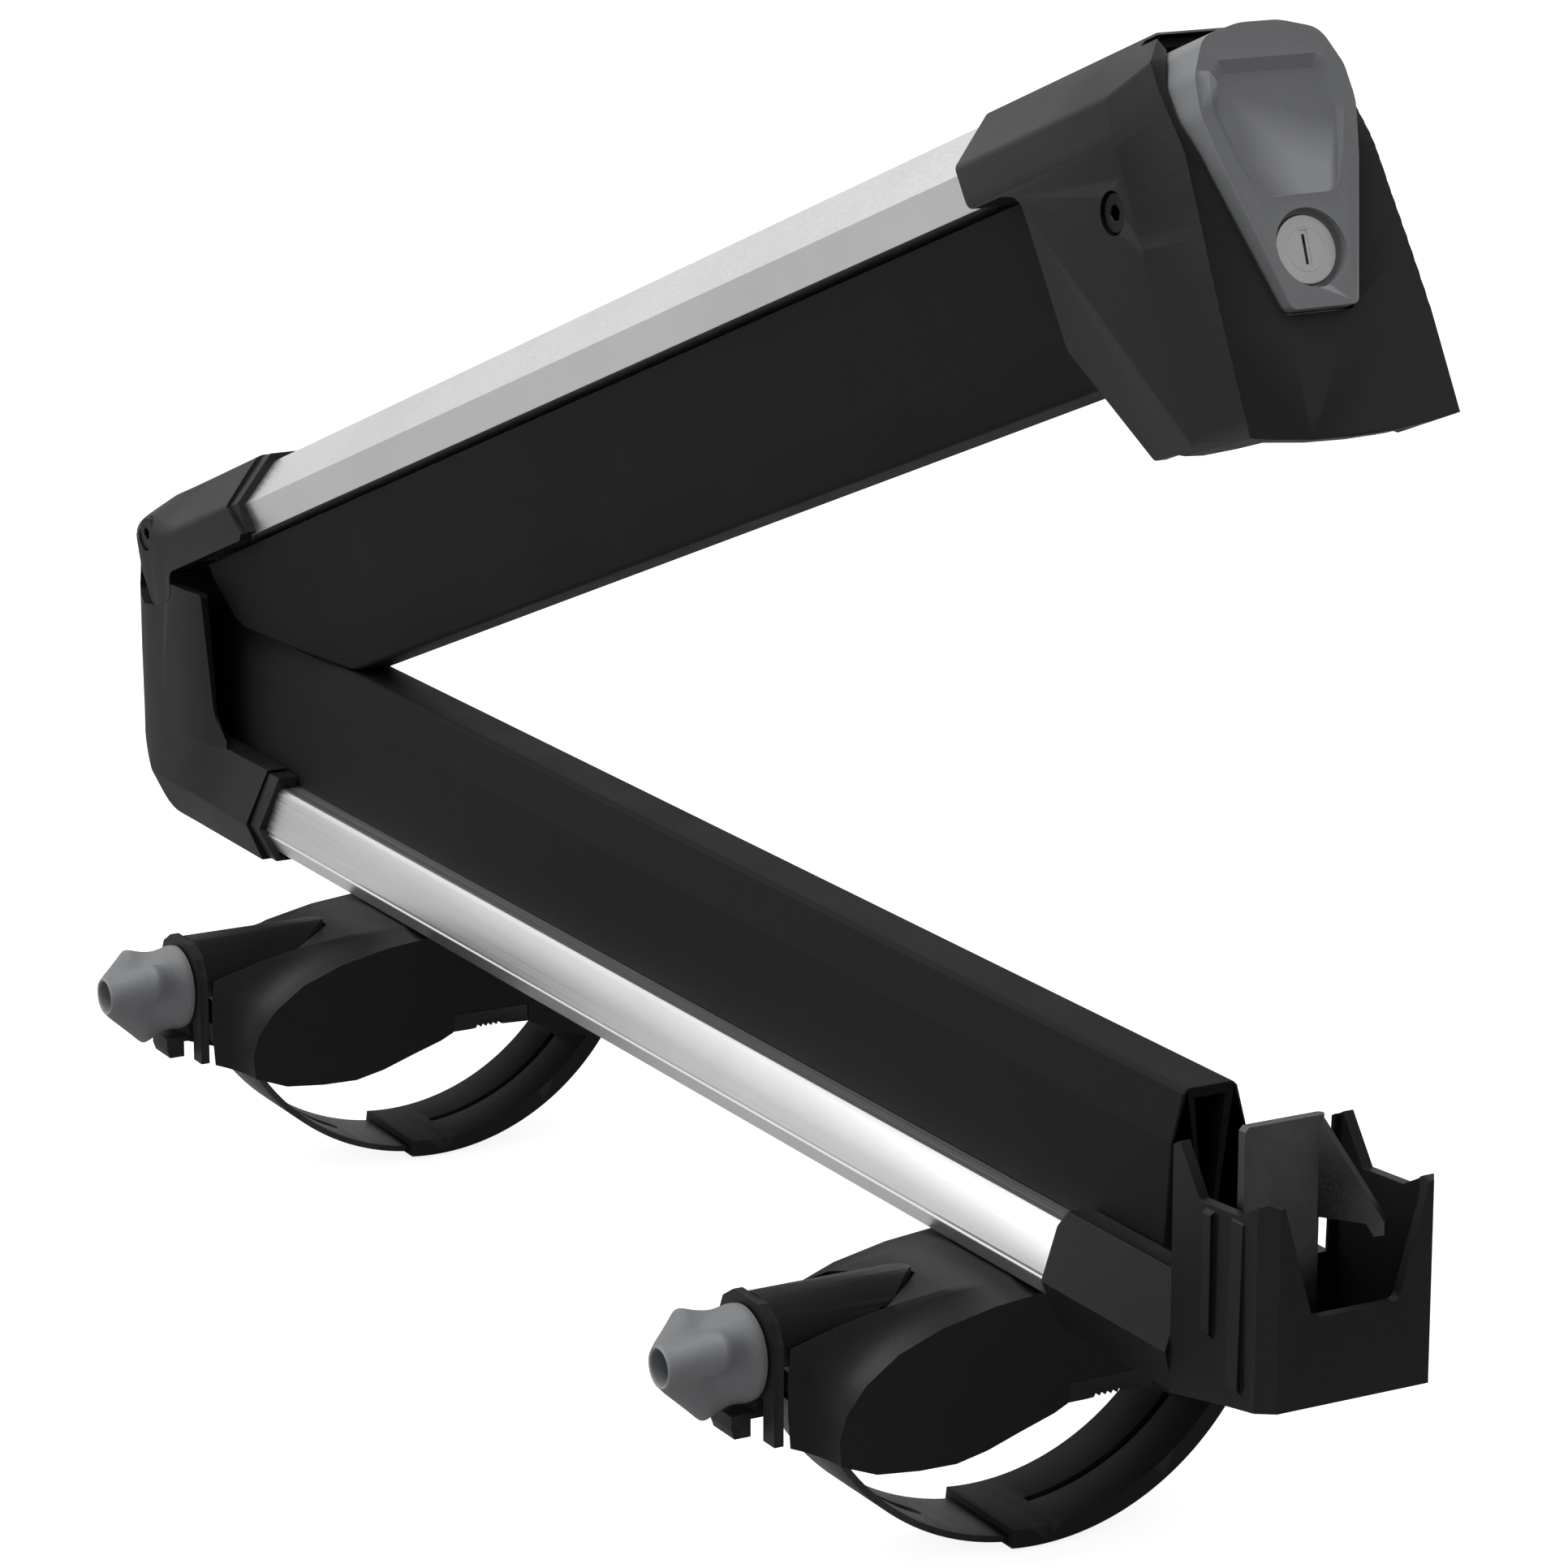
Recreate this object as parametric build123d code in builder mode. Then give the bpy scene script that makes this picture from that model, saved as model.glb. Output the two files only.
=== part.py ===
"""Roof ski rack: a hinged pair of rubber-faced rails with a press latch, on two strap feet.

X runs along the rails towards the latch, Y is the driving direction and Z is up.
The origin is on top of the load bar, midway between the two feet.
The upper arm is drawn as it stands open, swung up about the hinge pin.
"""
from build123d import *
import os
from math import cos, radians, sin

os.makedirs("parts", exist_ok=True)

# ---- driving dimensions, in millimetres and degrees ----
OPEN_ANGLE = 20.74            # of the upper arm as drawn
PIVOT_X, PIVOT_Z = -304.0, 94.0
RAIL_BOTTOM, RAIL_TOP = 27.4, 46.0
RAIL_START, RAIL_END = -302.0, 247.0
RAIL_HALF = 20.5              # widest half width of both rails
GROOVE_HALF, GROOVE_FOOT = 6.0, 9.0
RUBBER_HALF, RUBBER_TIP_HALF = 11.7, 7.2
LOWER_RUBBER_HEIGHT = 39.2
UPPER_RUBBER_HEIGHT = 43.2
LOWER_RUBBER_START, LOWER_RUBBER_END = -296.0, 228.0
ARM_TOP, ARM_CORNER, ARM_BOTTOM = 21.7, 10.2, 1.6   # upper rail, above the pivot
ARM_START, ARM_END = 15.0, 552.0
UPPER_RUBBER_START, UPPER_RUBBER_END = 62.0, 545.0
HINGE_HALF = 23.5             # half width of the hinge bracket and its cap
TONGUE_RADIUS = 7.5
TONGUE_INNER = 14.5
PIN_RADIUS = 3.0
HOUSING_HALF = 27.5           # half width of the latch housing
HOUSING_WALL = 2.5
CATCH_HALF = 22.5             # half width of the catch bucket
CATCH_WALL = 2.6
CATCH_FRONT = 285.5
STRIKE_X, STRIKE_THICK = 268.5, 2.4
PAWL_U, PAWL_V = 561.4, -13.5
BUTTON_U, BUTTON_V = 580.0, -40.6
LOCK_V = -29.5
FEET = {"near": 161.0, "far": -161.0}
FOOT_HALF = 25.2
SCREW_Z = 15.5
FLANGE_Y = -78.0
STRAP_Y, STRAP_Z, STRAP_RADIUS = -10.5, 24.0, 63.0
BAND_HALF, BAND_THICK = 13.0, 1.6
SLIDE_GAP = 0.25

# ---- frames: local x along the rail, local y up, normal towards -Y ----
BASE = Plane(origin=(0, 0, 0), x_dir=(1, 0, 0), z_dir=(0, -1, 0))
LIFT = (cos(radians(OPEN_ANGLE)), 0, sin(radians(OPEN_ANGLE)))
ARM = Plane(origin=(PIVOT_X, 0, PIVOT_Z), x_dir=LIFT, z_dir=(0, -1, 0))


def across(frame, u):
    """Plane square to the rail at u: local x is Y, local y is up."""
    return Plane(origin=frame.from_local_coords((u, 0, 0)), x_dir=(0, 1, 0), z_dir=frame.x_dir)


def flat(frame, v):
    """Plane parallel to the rail's flat at height v: local x along the rail, local y is Y."""
    return Plane(origin=frame.from_local_coords((0, v, 0)), x_dir=frame.x_dir, z_dir=frame.y_dir)


def at_y(frame, y):
    """The frame's side plane moved to a given Y."""
    return frame.offset(-y)


def both_sides(points):
    """A half outline for +Y closed with its mirror image."""
    return points + [(-y, z) for y, z in reversed(points)]


def polygon(points, mode=Mode.ADD):
    Polygon(*points, align=None, mode=mode)


def save(builder, name):
    builder.part.label = name
    export_step(builder.part, f"parts/{name}.step")


# ---- rails and rubbers ----
LOWER_SECTION = both_sides([
    (17.0, RAIL_TOP), (18.0, RAIL_TOP - 1.2), (RAIL_HALF, 33.0), (19.9, 32.4),
    (RAIL_HALF - 0.1, 31.9), (18.5, RAIL_BOTTOM),
])
UPPER_SECTION = both_sides([
    (9.5, ARM_TOP), (RAIL_HALF, ARM_CORNER), (19.0, ARM_BOTTOM),
])


def make_lower_rail():
    with BuildPart() as rail:
        with BuildSketch(across(BASE, RAIL_START)):
            polygon(LOWER_SECTION)
            polygon([(-5, 27), (5, 27), (5, 29.8), (-5, 29.8)], Mode.SUBTRACT)
            polygon([(-9.5, 29.8), (9.5, 29.8), (9.5, 36.2), (-9.5, 36.2)], Mode.SUBTRACT)
            polygon([(-GROOVE_HALF, 43.6), (GROOVE_HALF, 43.6), (GROOVE_HALF, 46.5),
                     (-GROOVE_HALF, 46.5)], Mode.SUBTRACT)
            polygon([(-GROOVE_FOOT, 39.8), (GROOVE_FOOT, 39.8), (GROOVE_FOOT, 43.6),
                     (-GROOVE_FOOT, 43.6)], Mode.SUBTRACT)
            for side in (1, -1):
                chamber = [(11.4, 29.8), (17.2, 29.8), (18.2, 32.6), (15.6, 43.8), (11.4, 43.8)]
                polygon([(side * y, z) for y, z in chamber], Mode.SUBTRACT)
        extrude(amount=RAIL_END - RAIL_START)
    save(rail, "lower_rail")


def make_upper_rail():
    with BuildPart() as rail:
        with BuildSketch(across(ARM, ARM_START)):
            polygon(UPPER_SECTION)
            polygon([(-GROOVE_HALF, 1), (GROOVE_HALF, 1), (GROOVE_HALF, 4), (-GROOVE_HALF, 4)],
                    Mode.SUBTRACT)
            polygon([(-GROOVE_FOOT, 4), (GROOVE_FOOT, 4), (GROOVE_FOOT, 7.8),
                     (-GROOVE_FOOT, 7.8)], Mode.SUBTRACT)
            polygon(both_sides([(8.4, 19.6), (15.2, 11.8), (13.0, 9.8)]), Mode.SUBTRACT)
            for side in (1, -1):
                chamber = [(11.0, 3.6), (16.8, 3.6), (17.9, 9.2), (11.0, 7.8)]
                polygon([(side * y, z) for y, z in chamber], Mode.SUBTRACT)
        extrude(amount=ARM_END - ARM_START)
    save(rail, "upper_rail")


def rubber_section(base, up, height):
    """Hollow trapezoid with two diagonal webs and a foot that keys into the rail."""
    shoulder = height - 12.0

    def place(points):
        return [(y, base + up * z) for y, z in points]

    polygon(place(both_sides([
        (RUBBER_TIP_HALF - 1.2, height), (RUBBER_TIP_HALF, height - 1.2), (10.05, shoulder),
        (RUBBER_HALF, 0.2), (5.7, 0.2), (5.7, -2.6), (8.7, -2.6), (8.7, -5.8),
    ])))
    polygon(place(both_sides([(4.0, height - 2.6), (0.9, 5.5)])), Mode.SUBTRACT)
    for side in (1, -1):
        cell = [(3.0, 3.2), (9.0, 3.2), (7.5, shoulder), (6.2, height - 4.6)]
        polygon(place([(side * y, z) for y, z in cell]), Mode.SUBTRACT)


def make_lower_rubber():
    with BuildPart() as rubber:
        with BuildSketch(across(BASE, LOWER_RUBBER_START)):
            rubber_section(RAIL_TOP, 1, LOWER_RUBBER_HEIGHT)
        extrude(amount=LOWER_RUBBER_END - LOWER_RUBBER_START)
    save(rubber, "lower_rubber")


def make_upper_rubber():
    """Near the hinge it is trimmed level, just clear of the lower rubber's top."""
    trim = RAIL_TOP + LOWER_RUBBER_HEIGHT + 0.5
    with BuildPart() as rubber:
        with BuildSketch(across(ARM, UPPER_RUBBER_START)):
            rubber_section(ARM_BOTTOM, -1, UPPER_RUBBER_HEIGHT)
        extrude(amount=UPPER_RUBBER_END - UPPER_RUBBER_START)
        with BuildSketch(Plane.XY.offset(trim)):
            with Locations((PIVOT_X + 100, 0)):
                Rectangle(240, 60)
        extrude(amount=-60, mode=Mode.SUBTRACT)
    save(rubber, "upper_rubber")


# ---- hinge end ----
CLAMP_SECTION = both_sides([(18.6, 50.2), (23.6, 33.6), (22.6, 31.4), (20.6, 24.2)])


def make_hinge_bracket():
    """C-shaped bracket: a U-channel column on a clamp that grips the lower rail's end."""
    px, pz = PIVOT_X, PIVOT_Z
    with BuildPart() as bracket:
        with BuildSketch(BASE):
            with BuildLine():
                Polyline((-295.4, pz), (-276.0, pz + 0.2), (-271.5, 60), (-268.0, 53.0),
                         (-262.0, 50.2), (-238.0, 50.2), (-243.0, 33.6), (-237.0, 24.2),
                         (-304.0, 24.2))
                RadiusArc((-304.0, 24.2), (-318.0, 37.0), 15)
                Polyline((-318.0, 37.0), (-323.0, 72.0), (-327.5, 97.0), (-325.2, 97.0),
                         (px - 20.4, pz - 1.4), (px - 17.8, pz - 5.4), (px - 12.0, pz - 8.6),
                         (px - 4.4, pz - 7.4))
                RadiusArc((px - 4.4, pz - 7.4), (-295.4, pz), -8.6)
            make_face()
        extrude(amount=HINGE_HALF, both=True)
        with BuildSketch(across(BASE, -330)):
            polygon([(-40, 0), (40, 0), (40, 50.2), (-40, 50.2)])
            polygon(CLAMP_SECTION, Mode.SUBTRACT)
        extrude(amount=100, mode=Mode.SUBTRACT)
        # channel inside the column
        with BuildSketch(BASE):
            polygon([(-314.0, 50.2), (-316.5, 72), (-320.6, 110), (-260, 110), (-260, 50.2)])
        extrude(amount=20, both=True, mode=Mode.SUBTRACT)
        # knuckle that carries the pin, between the two tongues of the cap
        with BuildSketch(BASE):
            polygon([(-319.5, 52), (-321.5, 74), (px - 14.0, pz - 12.0), (px - 5.0, pz - 7.0),
                     (px, pz), (-299.0, 76), (-299.0, 52)])
            with Locations((px, pz)):
                Circle(8.6)
        extrude(amount=14, both=True)
        with BuildSketch(BASE):
            with Locations((px, pz)):
                Circle(PIN_RADIUS)
        extrude(amount=30, both=True, mode=Mode.SUBTRACT)
        with BuildSketch(across(BASE, RAIL_START)):
            polygon(LOWER_SECTION)
            polygon([(-12.4, 44), (12.4, 44), (12.4, 52), (-12.4, 52)])
        extrude(amount=80, mode=Mode.SUBTRACT)
        with BuildSketch(Plane.XY.offset(23)):
            with Locations((-285, 0), (-252, 0)):
                Circle(3.6)
        extrude(amount=3.1, mode=Mode.SUBTRACT)
        with BuildSketch(Plane.XY.offset(23)):
            with Locations((-285, 0), (-252, 0)):
                Circle(2.1)
        extrude(amount=6, mode=Mode.SUBTRACT)
    save(bracket, "hinge_bracket")


def make_bracket_trim():
    """Black ring that closes the joint between the bracket's clamp and the rail."""
    with BuildPart() as ring:
        with BuildSketch(BASE):
            polygon([(-238.0, 49.4), (-243.0, 33.6), (-237.4, 25.2), (-230.0, 25.2),
                     (-236.0, 33.6), (-231.0, 49.4)])
        extrude(amount=HINGE_HALF, both=True)
        with BuildSketch(across(BASE, -250)):
            Rectangle(80, 140)
            polygon(both_sides([(18.2, 49.4), (22.6, 33.4), (20.0, 25.2)]), Mode.SUBTRACT)
        extrude(amount=30, mode=Mode.SUBTRACT)
        with BuildSketch(across(BASE, -250)):
            polygon(LOWER_SECTION)
            polygon([(-12.4, 44), (12.4, 44), (12.4, 52), (-12.4, 52)])
        extrude(amount=30, mode=Mode.SUBTRACT)
    save(ring, "hinge_bracket_trim")


def make_hinge_cap():
    """Cap over the arm's end, with a rounded nose and two tongues down to the pin."""
    with BuildPart() as cap:
        with BuildSketch(ARM):
            with BuildLine():
                Polyline((60.0, 24.9), (60.0, 10.8), (67.0, 2.0), (15.5, 2.4), (TONGUE_RADIUS, 0))
                ThreePointArc((TONGUE_RADIUS, 0), (0, -TONGUE_RADIUS), (-TONGUE_RADIUS, 0))
                Polyline((-TONGUE_RADIUS, 0), (-10.8, 6.0), (-12.0, 11.5))
                ThreePointArc((-12.0, 11.5), (-9.0, 19.6), (-1.0, 24.9))
                Line((-1.0, 24.9), (60.0, 24.9))
            make_face()
        extrude(amount=HINGE_HALF, both=True)
        with BuildSketch(across(ARM, -20)):
            Rectangle(80, 80)
            polygon(both_sides([(11.0, 24.9), (HINGE_HALF, 11.6), (HINGE_HALF, -20.0)]),
                    Mode.SUBTRACT)
        extrude(amount=110, mode=Mode.SUBTRACT)
        with BuildSketch(across(ARM, ARM_START)):
            polygon(UPPER_SECTION)
            polygon([(-19, 3), (19, 3), (19, -6), (-19, -6)])
        extrude(amount=80, mode=Mode.SUBTRACT)
        with BuildSketch(ARM):
            Circle(10.4)
            polygon([(-10.4, 0), (10.4, 0), (15.5, 10.4), (15.5, -10.4), (-10.4, -10.4)])
        extrude(amount=TONGUE_INNER, both=True, mode=Mode.SUBTRACT)
        with BuildSketch(ARM):
            Circle(PIN_RADIUS)
        extrude(amount=21.4, both=True, mode=Mode.SUBTRACT)
        with BuildSketch(at_y(ARM, -HINGE_HALF)):
            with Locations((-4.6, 14.2)):
                Circle(4.9)
        extrude(amount=-4.4, mode=Mode.SUBTRACT)
        with BuildSketch(at_y(ARM, -HINGE_HALF)):
            with Locations((-4.6, 14.2)):
                Circle(2.5)
        extrude(amount=-24, mode=Mode.SUBTRACT)
    save(cap, "hinge_cap")


def make_cap_trim():
    with BuildPart() as ring:
        with BuildSketch(ARM):
            polygon([(60.0, 24.0), (60.0, 10.8), (67.0, 2.0), (68.4, 2.0), (66.6, 10.6),
                     (67.6, 24.0)])
        extrude(amount=HINGE_HALF, both=True)
        with BuildSketch(across(ARM, 50)):
            Rectangle(80, 80)
            polygon(both_sides([(10.4, 24.0), (22.6, 11.0), (21.6, -4.0)]), Mode.SUBTRACT)
        extrude(amount=30, mode=Mode.SUBTRACT)
        with BuildSketch(across(ARM, 50)):
            polygon(UPPER_SECTION)
            polygon([(-19, 3), (19, 3), (19, -6), (-19, -6)])
        extrude(amount=30, mode=Mode.SUBTRACT)
    save(ring, "hinge_cap_trim")


def socket_bolt(name, frame, u, v, head_y, head_radius, shank_radius, length):
    """Socket-head bolt along Y, its head towards -Y."""
    with BuildPart() as bolt:
        with BuildSketch(at_y(frame, head_y)):
            with Locations((u, v)):
                Circle(head_radius)
        extrude(amount=-3.4)
        with BuildSketch(at_y(frame, head_y)):
            with Locations((u, v)):
                Circle(shank_radius)
        extrude(amount=-length)
        with BuildSketch(at_y(frame, head_y)):
            with Locations((u, v)):
                RegularPolygon(1.9, 6)
        extrude(amount=-2.4, mode=Mode.SUBTRACT)
    save(bolt, name)


def make_hinge_pin():
    with BuildPart() as pin:
        with BuildSketch(ARM):
            Circle(PIN_RADIUS - 0.02)
        extrude(amount=21.2, both=True)
    save(pin, "hinge_pin")


# ---- catch end ----
def make_catch_housing():
    """Clamp on the lower rail's end that flares into an open-topped bucket."""
    with BuildPart() as catch:
        with BuildSketch(BASE):
            polygon([(196.5, 46.0), (199.0, 50.0), (248.0, 50.0), (248.0, 81.0), (250.5, 82.4),
                     (258.5, 71.6), (273.5, 72.6), (CATCH_FRONT - 2.6, 77.6),
                     (CATCH_FRONT, 77.0), (CATCH_FRONT, 31.0), (268.0, 28.0), (248.0, 24.0),
                     (200.5, 24.0), (196.5, 34.0)])
        extrude(amount=24, both=True)
        with BuildSketch(across(BASE, 190)):
            Rectangle(100, 220)
            polygon(both_sides([(18.4, 50.0), (23.8, 33.6), (21.6, 24.0)]), Mode.SUBTRACT)
        extrude(amount=58, mode=Mode.SUBTRACT)
        with BuildSketch(flat(BASE, 0)):
            polygon([(248, -30), (300, -30), (300, 30), (248, 30)])
            polygon([(240, -CATCH_HALF), (281, -CATCH_HALF), (CATCH_FRONT, -19.5),
                     (CATCH_FRONT, 19.5), (281, CATCH_HALF), (240, CATCH_HALF)], Mode.SUBTRACT)
        extrude(amount=100, mode=Mode.SUBTRACT)
        # hollow of the bucket
        inner = CATCH_HALF - CATCH_WALL
        front = CATCH_FRONT - CATCH_WALL
        with BuildSketch(flat(BASE, 34)):
            polygon([(RAIL_END + 2, -inner), (279.6, -inner), (front, -17.4), (front, 17.4),
                     (279.6, inner), (RAIL_END + 2, inner)])
        extrude(amount=60, mode=Mode.SUBTRACT)
        # open back above the rail, where the lower rubber ends
        with BuildSketch(across(BASE, 240)):
            polygon([(-17.6, 50), (17.6, 50), (18.6, 90), (-18.6, 90)])
        extrude(amount=20, mode=Mode.SUBTRACT)
        # notch in the front wall
        with BuildSketch(across(BASE, 275)) as notch:
            polygon([(-11, 51.2), (11, 51.2), (19.0, 79), (-19.0, 79)])
            fillet(notch.vertices().group_by(Axis.Y)[0], 2.4)
        extrude(amount=15, mode=Mode.SUBTRACT)
        # stiffening ribs down both sides
        for side in (1, -1):
            with BuildSketch(across(BASE, 261.5)):
                polygon([(side * 22.0, 41), (side * 23.7, 43), (side * 23.7, 70), (side * 22.0, 71)])
            extrude(amount=3.2)
            with BuildSketch(across(BASE, 271.5)):
                polygon([(side * 22.0, 32), (side * 23.7, 34), (side * 22.9, 71), (side * 22.0, 72)])
            extrude(amount=4.5)
        with BuildSketch(across(BASE, 190)):
            polygon(LOWER_SECTION)
            polygon([(-12.4, 44), (12.4, 44), (12.4, 52), (-12.4, 52)])
        extrude(amount=RAIL_END - 190, mode=Mode.SUBTRACT)
        # seat and backing block for the strike plate
        with BuildSketch(flat(BASE, 33)):
            with Locations((STRIKE_X - STRIKE_THICK / 2 - 2.75, -9)):
                Rectangle(5.4, 18)
        extrude(amount=15)
        with BuildSketch(across(BASE, 258)):
            with Locations((-14, 42), (-5, 42)):
                Circle(2.0)
        extrude(amount=12, mode=Mode.SUBTRACT)
        with BuildSketch(flat(BASE, 31.5)):
            with Locations((STRIKE_X, -9)):
                Rectangle(STRIKE_THICK + 0.1, 20)
        extrude(amount=4, mode=Mode.SUBTRACT)
        with BuildSketch(Plane.XY.offset(23)):
            with Locations((210, 0), (236, 0)):
                Circle(3.6)
        extrude(amount=3.1, mode=Mode.SUBTRACT)
        with BuildSketch(Plane.XY.offset(23)):
            with Locations((210, 0), (236, 0)):
                Circle(2.1)
        extrude(amount=6, mode=Mode.SUBTRACT)
    save(catch, "catch_housing")


def make_strike_plate():
    """Bent plate: a leaf across the rail and an angled fin with a barb for the pawl."""
    lean = radians(37)
    fin = Plane(origin=(STRIKE_X, 1, 0), x_dir=(cos(lean), sin(lean), 0),
                z_dir=(sin(lean), -cos(lean), 0))
    with BuildPart() as plate:
        with BuildSketch(across(BASE, STRIKE_X)):
            polygon([(-18.6, 31.8), (0.6, 31.8), (1.0, 90.2), (-17.6, 90.2), (-18.6, 89.2)])
        extrude(amount=STRIKE_THICK / 2, both=True)
        with BuildSketch(fin):
            polygon([(0, 67.2), (11.6, 67.2), (13.4, 64.5), (15.7, 65.2), (15.7, 68.1), (0, 90.2)])
        extrude(amount=STRIKE_THICK / 2, both=True)
        with BuildSketch(flat(BASE, 67.2)):
            with Locations((STRIKE_X, 1)):
                Circle(STRIKE_THICK / 2)
        extrude(amount=23)
        with BuildSketch(across(BASE, STRIKE_X)):
            with Locations((-14, 42), (-5, 42)):
                Circle(2.1)
        extrude(amount=STRIKE_THICK, both=True, mode=Mode.SUBTRACT)
    save(plate, "strike_plate")


def make_strike_screws():
    with BuildPart() as screws:
        with BuildSketch(across(BASE, STRIKE_X + STRIKE_THICK / 2 + 0.05)):
            with Locations((-14, 42), (-5, 42)):
                Circle(3.6)
        extrude(amount=2.2)
        with BuildSketch(across(BASE, 258.5)):
            with Locations((-14, 42), (-5, 42)):
                Circle(1.95)
        extrude(amount=14)
    save(screws, "strike_screws")


def make_rail_screws():
    """Countersunk screws up through both clamps, and the nut strips inside the rail."""
    spots = [(-285, 0), (-252, 0), (210, 0), (236, 0)]
    with BuildPart() as screws:
        with BuildSketch(Plane.XY.offset(24.3)):
            with Locations(spots):
                Circle(3.5)
        extrude(amount=1.7)
        with BuildSketch(Plane.XY.offset(24.3)):
            with Locations(spots):
                Circle(1.95)
        extrude(amount=10.4)
        with BuildSketch(Plane.XY.offset(24.3)):
            with Locations(spots):
                RegularPolygon(1.7, 6)
        extrude(amount=1.3, mode=Mode.SUBTRACT)
    save(screws, "rail_screws")
    with BuildPart() as strips:
        with BuildSketch(Plane.XY.offset(30.2)):
            with Locations((-268.5, 0)):
                Rectangle(47, 17)
            with Locations((223, 0)):
                Rectangle(40, 17)
            with Locations(spots):
                Circle(2.1, mode=Mode.SUBTRACT)
        extrude(amount=4.2)
    save(strips, "rail_nut_strips")


# ---- latch on the arm's free end ----
def carved_block(side, section, plan):
    """Block along the arm with the given side, end and plan outlines."""
    with BuildPart() as block:
        with BuildSketch(ARM):
            polygon(side)
        extrude(amount=40, both=True)
        with BuildSketch(across(ARM, 480)):
            Rectangle(200, 300)
            polygon(section, Mode.SUBTRACT)
        extrude(amount=130, mode=Mode.SUBTRACT)
        with BuildSketch(flat(ARM, -90)):
            with Locations((540, 0)):
                Rectangle(200, 200)
            polygon(plan, Mode.SUBTRACT)
        extrude(amount=140, mode=Mode.SUBTRACT)
    return block.part


def button_outline(grow):
    """Shield-shaped face of the release button, seen from the front."""
    return both_sides([(13.0 + grow * 0.6, 18.0 + grow), (16.5 + grow, 10), (19.0 + grow, 0.5),
                       (18.5 + grow, -12), (13.0 + grow, -27), (7.9 + grow, -42.5 - grow)])


def plan_outline(points):
    """Closed plan outline from its +Y half."""
    return points + [(u, -y) for u, y in reversed(points)]


def make_latch_housing():
    """Housing over the arm's end: sleeve, hump and front wall, open below and at the back."""
    outer = carved_block(
        [(500.0, 24.9), (494.5, 10.8), (501.0, -0.4), (514.0, -0.4), (519.5, -3.0), (523.6, -9.4),
         (530.9, -33.0), (532.5, -37.2), (560.0, -66.0), (568.3, -65.7), (591.5, -68.0),
         (593.8, -67.4), (589.8, -42.9), (584.1, -6.4), (575.8, 10.4), (574.0, 16.0),
         (566.5, 22.0), (559.0, 24.9)],
        both_sides([(11.0, 24.9), (24.2, 12.0), (26.4, 9.4), (HOUSING_HALF, 2.0),
                    (HOUSING_HALF, -71.0)]),
        plan_outline([(490, 24.0), (506, 24.0), (536, 26.4), (552, HOUSING_HALF),
                      (584.5, HOUSING_HALF), (590.5, 25.0), (595.5, 17.0)]),
    )
    wall = HOUSING_WALL
    core = carved_block(
        [(480.0, -0.4), (ARM_END, -0.4), (ARM_END, 22.2), (558.4, 22.2), (564.8, 19.8),
         (571.4, 14.2), (573.3, 9.4), (581.4, -7.4), (587.3, -43.3), (591.2, -68.0),
         (591.2, -80.0), (480.0, -80.0)],
        both_sides([(10.0, 22.4), (22.0, 10.6), (24.2, 8.0), (HOUSING_HALF - wall, 1.0),
                    (HOUSING_HALF - wall, -81.0)]),
        plan_outline([(470, 21.4), (506, 21.4), (536, 23.9), (552, HOUSING_HALF - wall),
                      (583.6, HOUSING_HALF - wall), (588.4, 23.4), (593.4, 16.0)]),
    )
    with BuildPart() as housing:
        add(outer)
        add(core, mode=Mode.SUBTRACT)
        with BuildSketch(across(ARM, 485)):
            polygon(UPPER_SECTION)
            polygon([(-12.4, 3), (12.4, 3), (12.4, -6), (-12.4, -6)])
        extrude(amount=ARM_END - 485, mode=Mode.SUBTRACT)
        # window for the release button
        with BuildSketch(across(ARM, 563)):
            polygon(button_outline(0.6))
        extrude(amount=40, mode=Mode.SUBTRACT)
        # bosses for the cross bolt, inside both cheeks
        for side in (1, -1):
            with BuildSketch(at_y(ARM, side * 25.6)):
                with Locations((PAWL_U, PAWL_V)):
                    Circle(6.4)
            extrude(amount=side * 5.2)
            with BuildSketch(at_y(ARM, side * 9.9)):
                polygon([(BUTTON_U + 1, BUTTON_V - 3), (590.4, BUTTON_V - 3),
                         (589.4, BUTTON_V + 3), (BUTTON_U + 1, BUTTON_V + 3)])
                with Locations((BUTTON_U + 1, BUTTON_V)):
                    Circle(3.0)
            extrude(amount=-side * 3.0)
        with BuildSketch(at_y(ARM, -HOUSING_HALF)):
            with Locations((PAWL_U, PAWL_V)):
                Circle(4.5)
        extrude(amount=-4.0, mode=Mode.SUBTRACT)
        with BuildSketch(at_y(ARM, -HOUSING_HALF)):
            with Locations((PAWL_U, PAWL_V)):
                Circle(2.6)
        extrude(amount=-53.0, mode=Mode.SUBTRACT)
        with BuildSketch(ARM):
            with Locations((BUTTON_U + 1, BUTTON_V)):
                Circle(1.45)
        extrude(amount=11.9, both=True, mode=Mode.SUBTRACT)
    save(housing, "latch_housing")


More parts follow.
